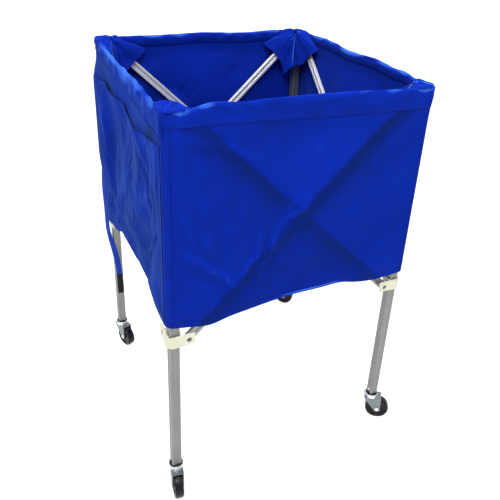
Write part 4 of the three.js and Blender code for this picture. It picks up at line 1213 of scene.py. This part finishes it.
dark_steel = worn_metal("dark_steel", (0.05, 0.05, 0.045, 1), (0.16, 0.155, 0.14, 1), 0.28, 0.85)
zinc_steel = worn_metal("zinc_steel", (0.12, 0.145, 0.155, 1), (0.26, 0.29, 0.30, 1), 0.34, 0.85)
bright_zinc = worn_metal("bright_zinc", (0.60, 0.63, 0.65, 1), (0.85, 0.88, 0.90, 1), 0.20, 0.9)
pin_tree = geometry_tree("pins_on_places", {
    "Head Radius": "Float", "Head Height": "Float", "Shank Radius": "Float", "Shank Length": "Float",
    "Tail Radius": "Float", "Tail Height": "Float", "Tail Sides": "Int",
}, {
    "head": ("GeometryNodeMeshUVSphere", {"Segments": 28, "Rings": 14, "Radius": 1.0}),
    "head_size": "CombineXYZ", "head_place": "GeometryNodeTransform",
    "shank": ("GeometryNodeMeshCylinder", {"Vertices": 24}), "shank_place": "GeometryNodeTransform",
    "shank_middle": ("Math", {"operation": "MULTIPLY", 1: -0.5}), "shank_shift": "CombineXYZ",
    "tail": "GeometryNodeMeshCylinder", "tail_place": "GeometryNodeTransform",
    "tail_middle": ("Math", {"operation": "MULTIPLY_ADD", 1: -0.5}), "tail_shift": "CombineXYZ",
    "tail_end": ("Math", {"operation": "MULTIPLY", 1: -1.0}), "parts": "GeometryNodeJoinGeometry",
    "axis": ("GeometryNodeInputNamedAttribute", {"data_type": "FLOAT_VECTOR", "Name": "outward"}),
    "turn": ("FunctionNodeAlignRotationToVector", {"axis": "Z"}), "points": "GeometryNodeMeshToPoints",
}, """in.Head Radius > head_size.X, in.Head Radius > head_size.Y, in.Head Height > head_size.Z,
    head.Mesh > head_place.Geometry, head_size.Vector > head_place.Scale,
    in.Shank Radius > shank.Radius, in.Shank Length > shank.Depth, in.Shank Length > shank_middle.0,
    shank_middle.Value > shank_shift.Z, shank.Mesh > shank_place.Geometry,
    shank_shift.Vector > shank_place.Translation, in.Tail Sides > tail.Vertices,
    in.Tail Radius > tail.Radius, in.Tail Height > tail.Depth, in.Tail Height > tail_middle.0,
    in.Shank Length > tail_end.0, tail_end.Value > tail_middle.2, tail_middle.Value > tail_shift.Z,
    tail.Mesh > tail_place.Geometry, tail_shift.Vector > tail_place.Translation,
    head_place.Geometry > parts.Geometry, shank_place.Geometry > parts.Geometry,
    tail_place.Geometry > parts.Geometry, in.Geometry > points.Mesh, points.Points > set.Points,
    parts.Geometry > set.Instance, axis.Attribute > turn.Vector""")


def pin(name, face, outward, head, shank, tail, sides, material):
    """A pin from its head's face inward: head and tail as (radius, height), shank as (radius, length)."""
    return grow(name, pin_tree, [face], [], {"outward": [outward]}, {
        "Head Radius": head[0], "Head Height": head[1], "Shank Radius": shank[0], "Shank Length": shank[1],
        "Tail Radius": tail[0], "Tail Height": tail[1], "Tail Sides": sides, "Material": material})


def pin_box(node, outward):
    """The middle of a CAD pin and its length along a direction."""
    low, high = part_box(node)
    return (low + high) / 2, abs((high - low).dot(outward))


def outward_from(turn):
    """The direction out of one side of the cart."""
    angle = turn * math.pi / 2
    return Vector((math.sin(angle), -math.cos(angle), 0))


head_radius, shank_radius = 0.0052, 0.003
nut_radius, nut_height = 0.0054, 0.003
head_sunk = 0.0010
for turn, corner in enumerate(corner_names):
    for letter, outward in (("a", outward_from(turn)), ("b", outward_from(turn - 1))):
        centre, length = pin_box(f"slider_screw_{letter}_{corner}", outward)
        screw = pin(f"pivot_screw_{letter}_{corner}", centre + outward * (length / 2 - head_sunk), outward,
                    (head_radius, 0.0017), (shank_radius, length - head_sunk - nut_height),
                    (nut_radius, nut_height), 6, dark_steel)
        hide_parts(f"slider_screw_{letter}_{corner}")
        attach(screw, f"slider_{corner}")

plug_rivet_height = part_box("leg_front_left")[0].z + 0.0105
plug_rivet_head, plug_rivet_shank, plug_rivet_tail = (0.0034, 0.0018), (0.0016, 0.0045), (0.0019, 0.001)
for corner in corner_names:
    low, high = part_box(f"leg_{corner}")
    face = (low + high) / 2
    inward = Vector((1 if face.x < 0 else -1, 0, 0))
    face += inward * ((high.x - low.x) / 2 - 0.0006)
    face.z = plug_rivet_height
    rivet = pin(f"plug_rivet_{corner}", face, inward, plug_rivet_head, plug_rivet_shank, plug_rivet_tail,
                12, bright_zinc)
    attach(rivet, f"corner_{corner}")

rivet_bodies = {"front": "arm_inner_front", "right": "arm_inner_right", "back": "arm_outer_back",
                "left": "arm_outer_left"}
for turn, side in enumerate(side_names):
    outward = outward_from(turn)
    centre, length = pin_box(f"cross_rivet_{side}", outward)
    rivet = pin(f"arm_rivet_{side}", centre + outward * (length / 2 - 0.0016), outward,
                (head_radius, 0.0016), (shank_radius, length - 0.0034), (head_radius, 0.0018), 20, dark_steel)
    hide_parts(f"cross_rivet_{side}")
    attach(rivet, rivet_bodies[side])


# Casters: a pressed fork of zinc-plated steel with its ball race, a black plug in the leg's end
# that holds the kingpin, and a black one-piece wheel on a riveted axle.
press_width, press_depth = 0.0022, -0.0005
fork_rounding, race_rounding, tread_rounding, plug_rounding = 0.0008, 0.0006, 0.0009, 0.0007


def press_cheeks(shape, across):
    """Sinks the middle of each cheek's outer face a little, as the press leaves it."""
    for sign in (1, -1):
        facing = [(face, face.calc_center_median().dot(across) * sign) for face in shape.faces
                  if face.normal.dot(across) * sign > 0.99]
        furthest = max(place for _, place in facing)
        outer = [face for face, place in facing if abs(place - furthest) < 2e-4]
        bmesh.ops.inset_region(shape, faces=outer, thickness=press_width, depth=press_depth,
                               use_even_offset=True, use_boundary=True)


def turned_ring(name, profile, centre, axis, material, segments=72):
    """A closed body turned from a closed outline of (radius, place along the axis) points."""
    spin = Vector((0, 0, 1)).rotation_difference(Vector(axis))
    places = []
    for step in range(segments):
        angle = 2 * math.pi * step / segments
        for radius, height in profile:
            place = Vector((radius * math.cos(angle), radius * math.sin(angle), height))
            places.append(tuple(Vector(centre) + spin @ place))
    index = np.arange(len(places)).reshape(segments, len(profile))
    onward, after = np.roll(index, -1, axis=0), np.roll(index, -1, axis=1)
    faces = np.stack([index, onward, np.roll(onward, -1, axis=1), after], axis=-1).reshape(-1, 4)
    return smooth_piece(name, places, faces.tolist(), material)


def rounded_outline(points, radius, steps):
    """A closed outline with its corners rounded, listed in the same turning order."""
    outline = []
    for number, point in enumerate(points):
        here = Vector(point)
        before = Vector(points[number - 1]) - here
        after = Vector(points[(number + 1) % len(points)]) - here
        cut = min(radius, before.length * 0.45, after.length * 0.45)
        start, end = here + before.normalized() * cut, here + after.normalized() * cut
        for step in range(steps + 1):
            t = step / steps
            outline.append(tuple(start * (1 - t) ** 2 + here * (2 * t * (1 - t)) + end * t * t))
    return outline


black_plastic = moulded_plastic("black_plastic", (0.008, 0.008, 0.008, 1), (0.022, 0.022, 0.022, 1), 0.42,
                                800.0, 0.15)
wheel_plastic = moulded_plastic("wheel_plastic", (0.0015, 0.0017, 0.0025, 1), (0.006, 0.007, 0.010, 1), 0.26,
                                500.0, 0.10, Specular_IOR_Level=0.2)
# Outlines in millimetres: the race's radii and heights, and one half of the wheel's and the axle's
# radii and places, counted back from the face of the hub or the end of the axle
race_outline = mm_points(14.8, 68.1, 16.3, 69, 16.9, 71.2, 16.7, 73.6, 15.8, 74.3, 15.7, 75.2, 16.6, 76.1,
                         16.9, 78.3, 16.6, 80, 16, 80.5, 15.4, 80.2, 15.1, 78.8, 14.8, 78.4)
wheel_half = 0.0105
wheel_outline = mm_points(4.2, 0, 9.8, 0, 11.2, 3, 16.5, 3.6, 17.2, 3, 18, 3, 18.7, 3.6, 22.6, 3, 24, 0,
                          28.8, 0, 31, 1.4, 31.8, 4.2, 32, 7.2)
axle_outline = mm_points(0.4, 0, 3.5, 0.2, 5.4, 0.8, 6, 1.6, 3.6, 1.6)


def both_halves(outline, half):
    """A closed outline from one half of it, mirrored about the middle."""
    near = [(radius, half - back) for radius, back in outline]
    return near + [(radius, -place) for radius, place in reversed(near)]


for corner in corner_names:
    low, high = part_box(f"caster_wheel_{corner}")
    centre = (low + high) / 2
    low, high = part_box(f"leg_plug_{corner}")
    kingpin = (low + high) / 2
    trail = Vector((centre.x - kingpin.x, centre.y - kingpin.y, 0)).normalized()
    across = Vector((-trail.y, trail.x, 0))

    fork = rounded_copy(f"pressed_fork_{corner}", f"caster_fork_{corner}", fork_rounding, 2, zinc_steel,
                        lambda shape: press_cheeks(shape, across))
    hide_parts(f"caster_fork_{corner}")
    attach(fork, f"caster_{corner}")

    race = turned_ring(f"ball_race_{corner}", rounded_outline(race_outline, race_rounding, 2),
                       (kingpin.x, kingpin.y, 0), (0, 0, 1), bright_zinc)
    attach(race, f"caster_{corner}")

    tread = rounded_outline(both_halves(wheel_outline, wheel_half), tread_rounding, 3)
    roller = turned_ring(f"wheel_{corner}", tread, centre, across, wheel_plastic, 96)
    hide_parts(f"caster_wheel_{corner}")
    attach(roller, f"wheel_{corner}")

    axle_half = max(abs(vertex.co.xy.dot(across.xy) - centre.xy.dot(across.xy))
                    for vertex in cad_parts[f"caster_axle_{corner}"].data.vertices)
    axle = turned_ring(f"riveted_axle_{corner}", both_halves(axle_outline, axle_half), centre, across,
                       bright_zinc, 40)
    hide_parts(f"caster_axle_{corner}")
    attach(axle, f"caster_{corner}")

    plug = rounded_copy(f"moulded_plug_{corner}", f"leg_plug_{corner}", plug_rounding, 2, black_plastic)
    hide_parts(f"leg_plug_{corner}")
    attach(plug, f"corner_{corner}")
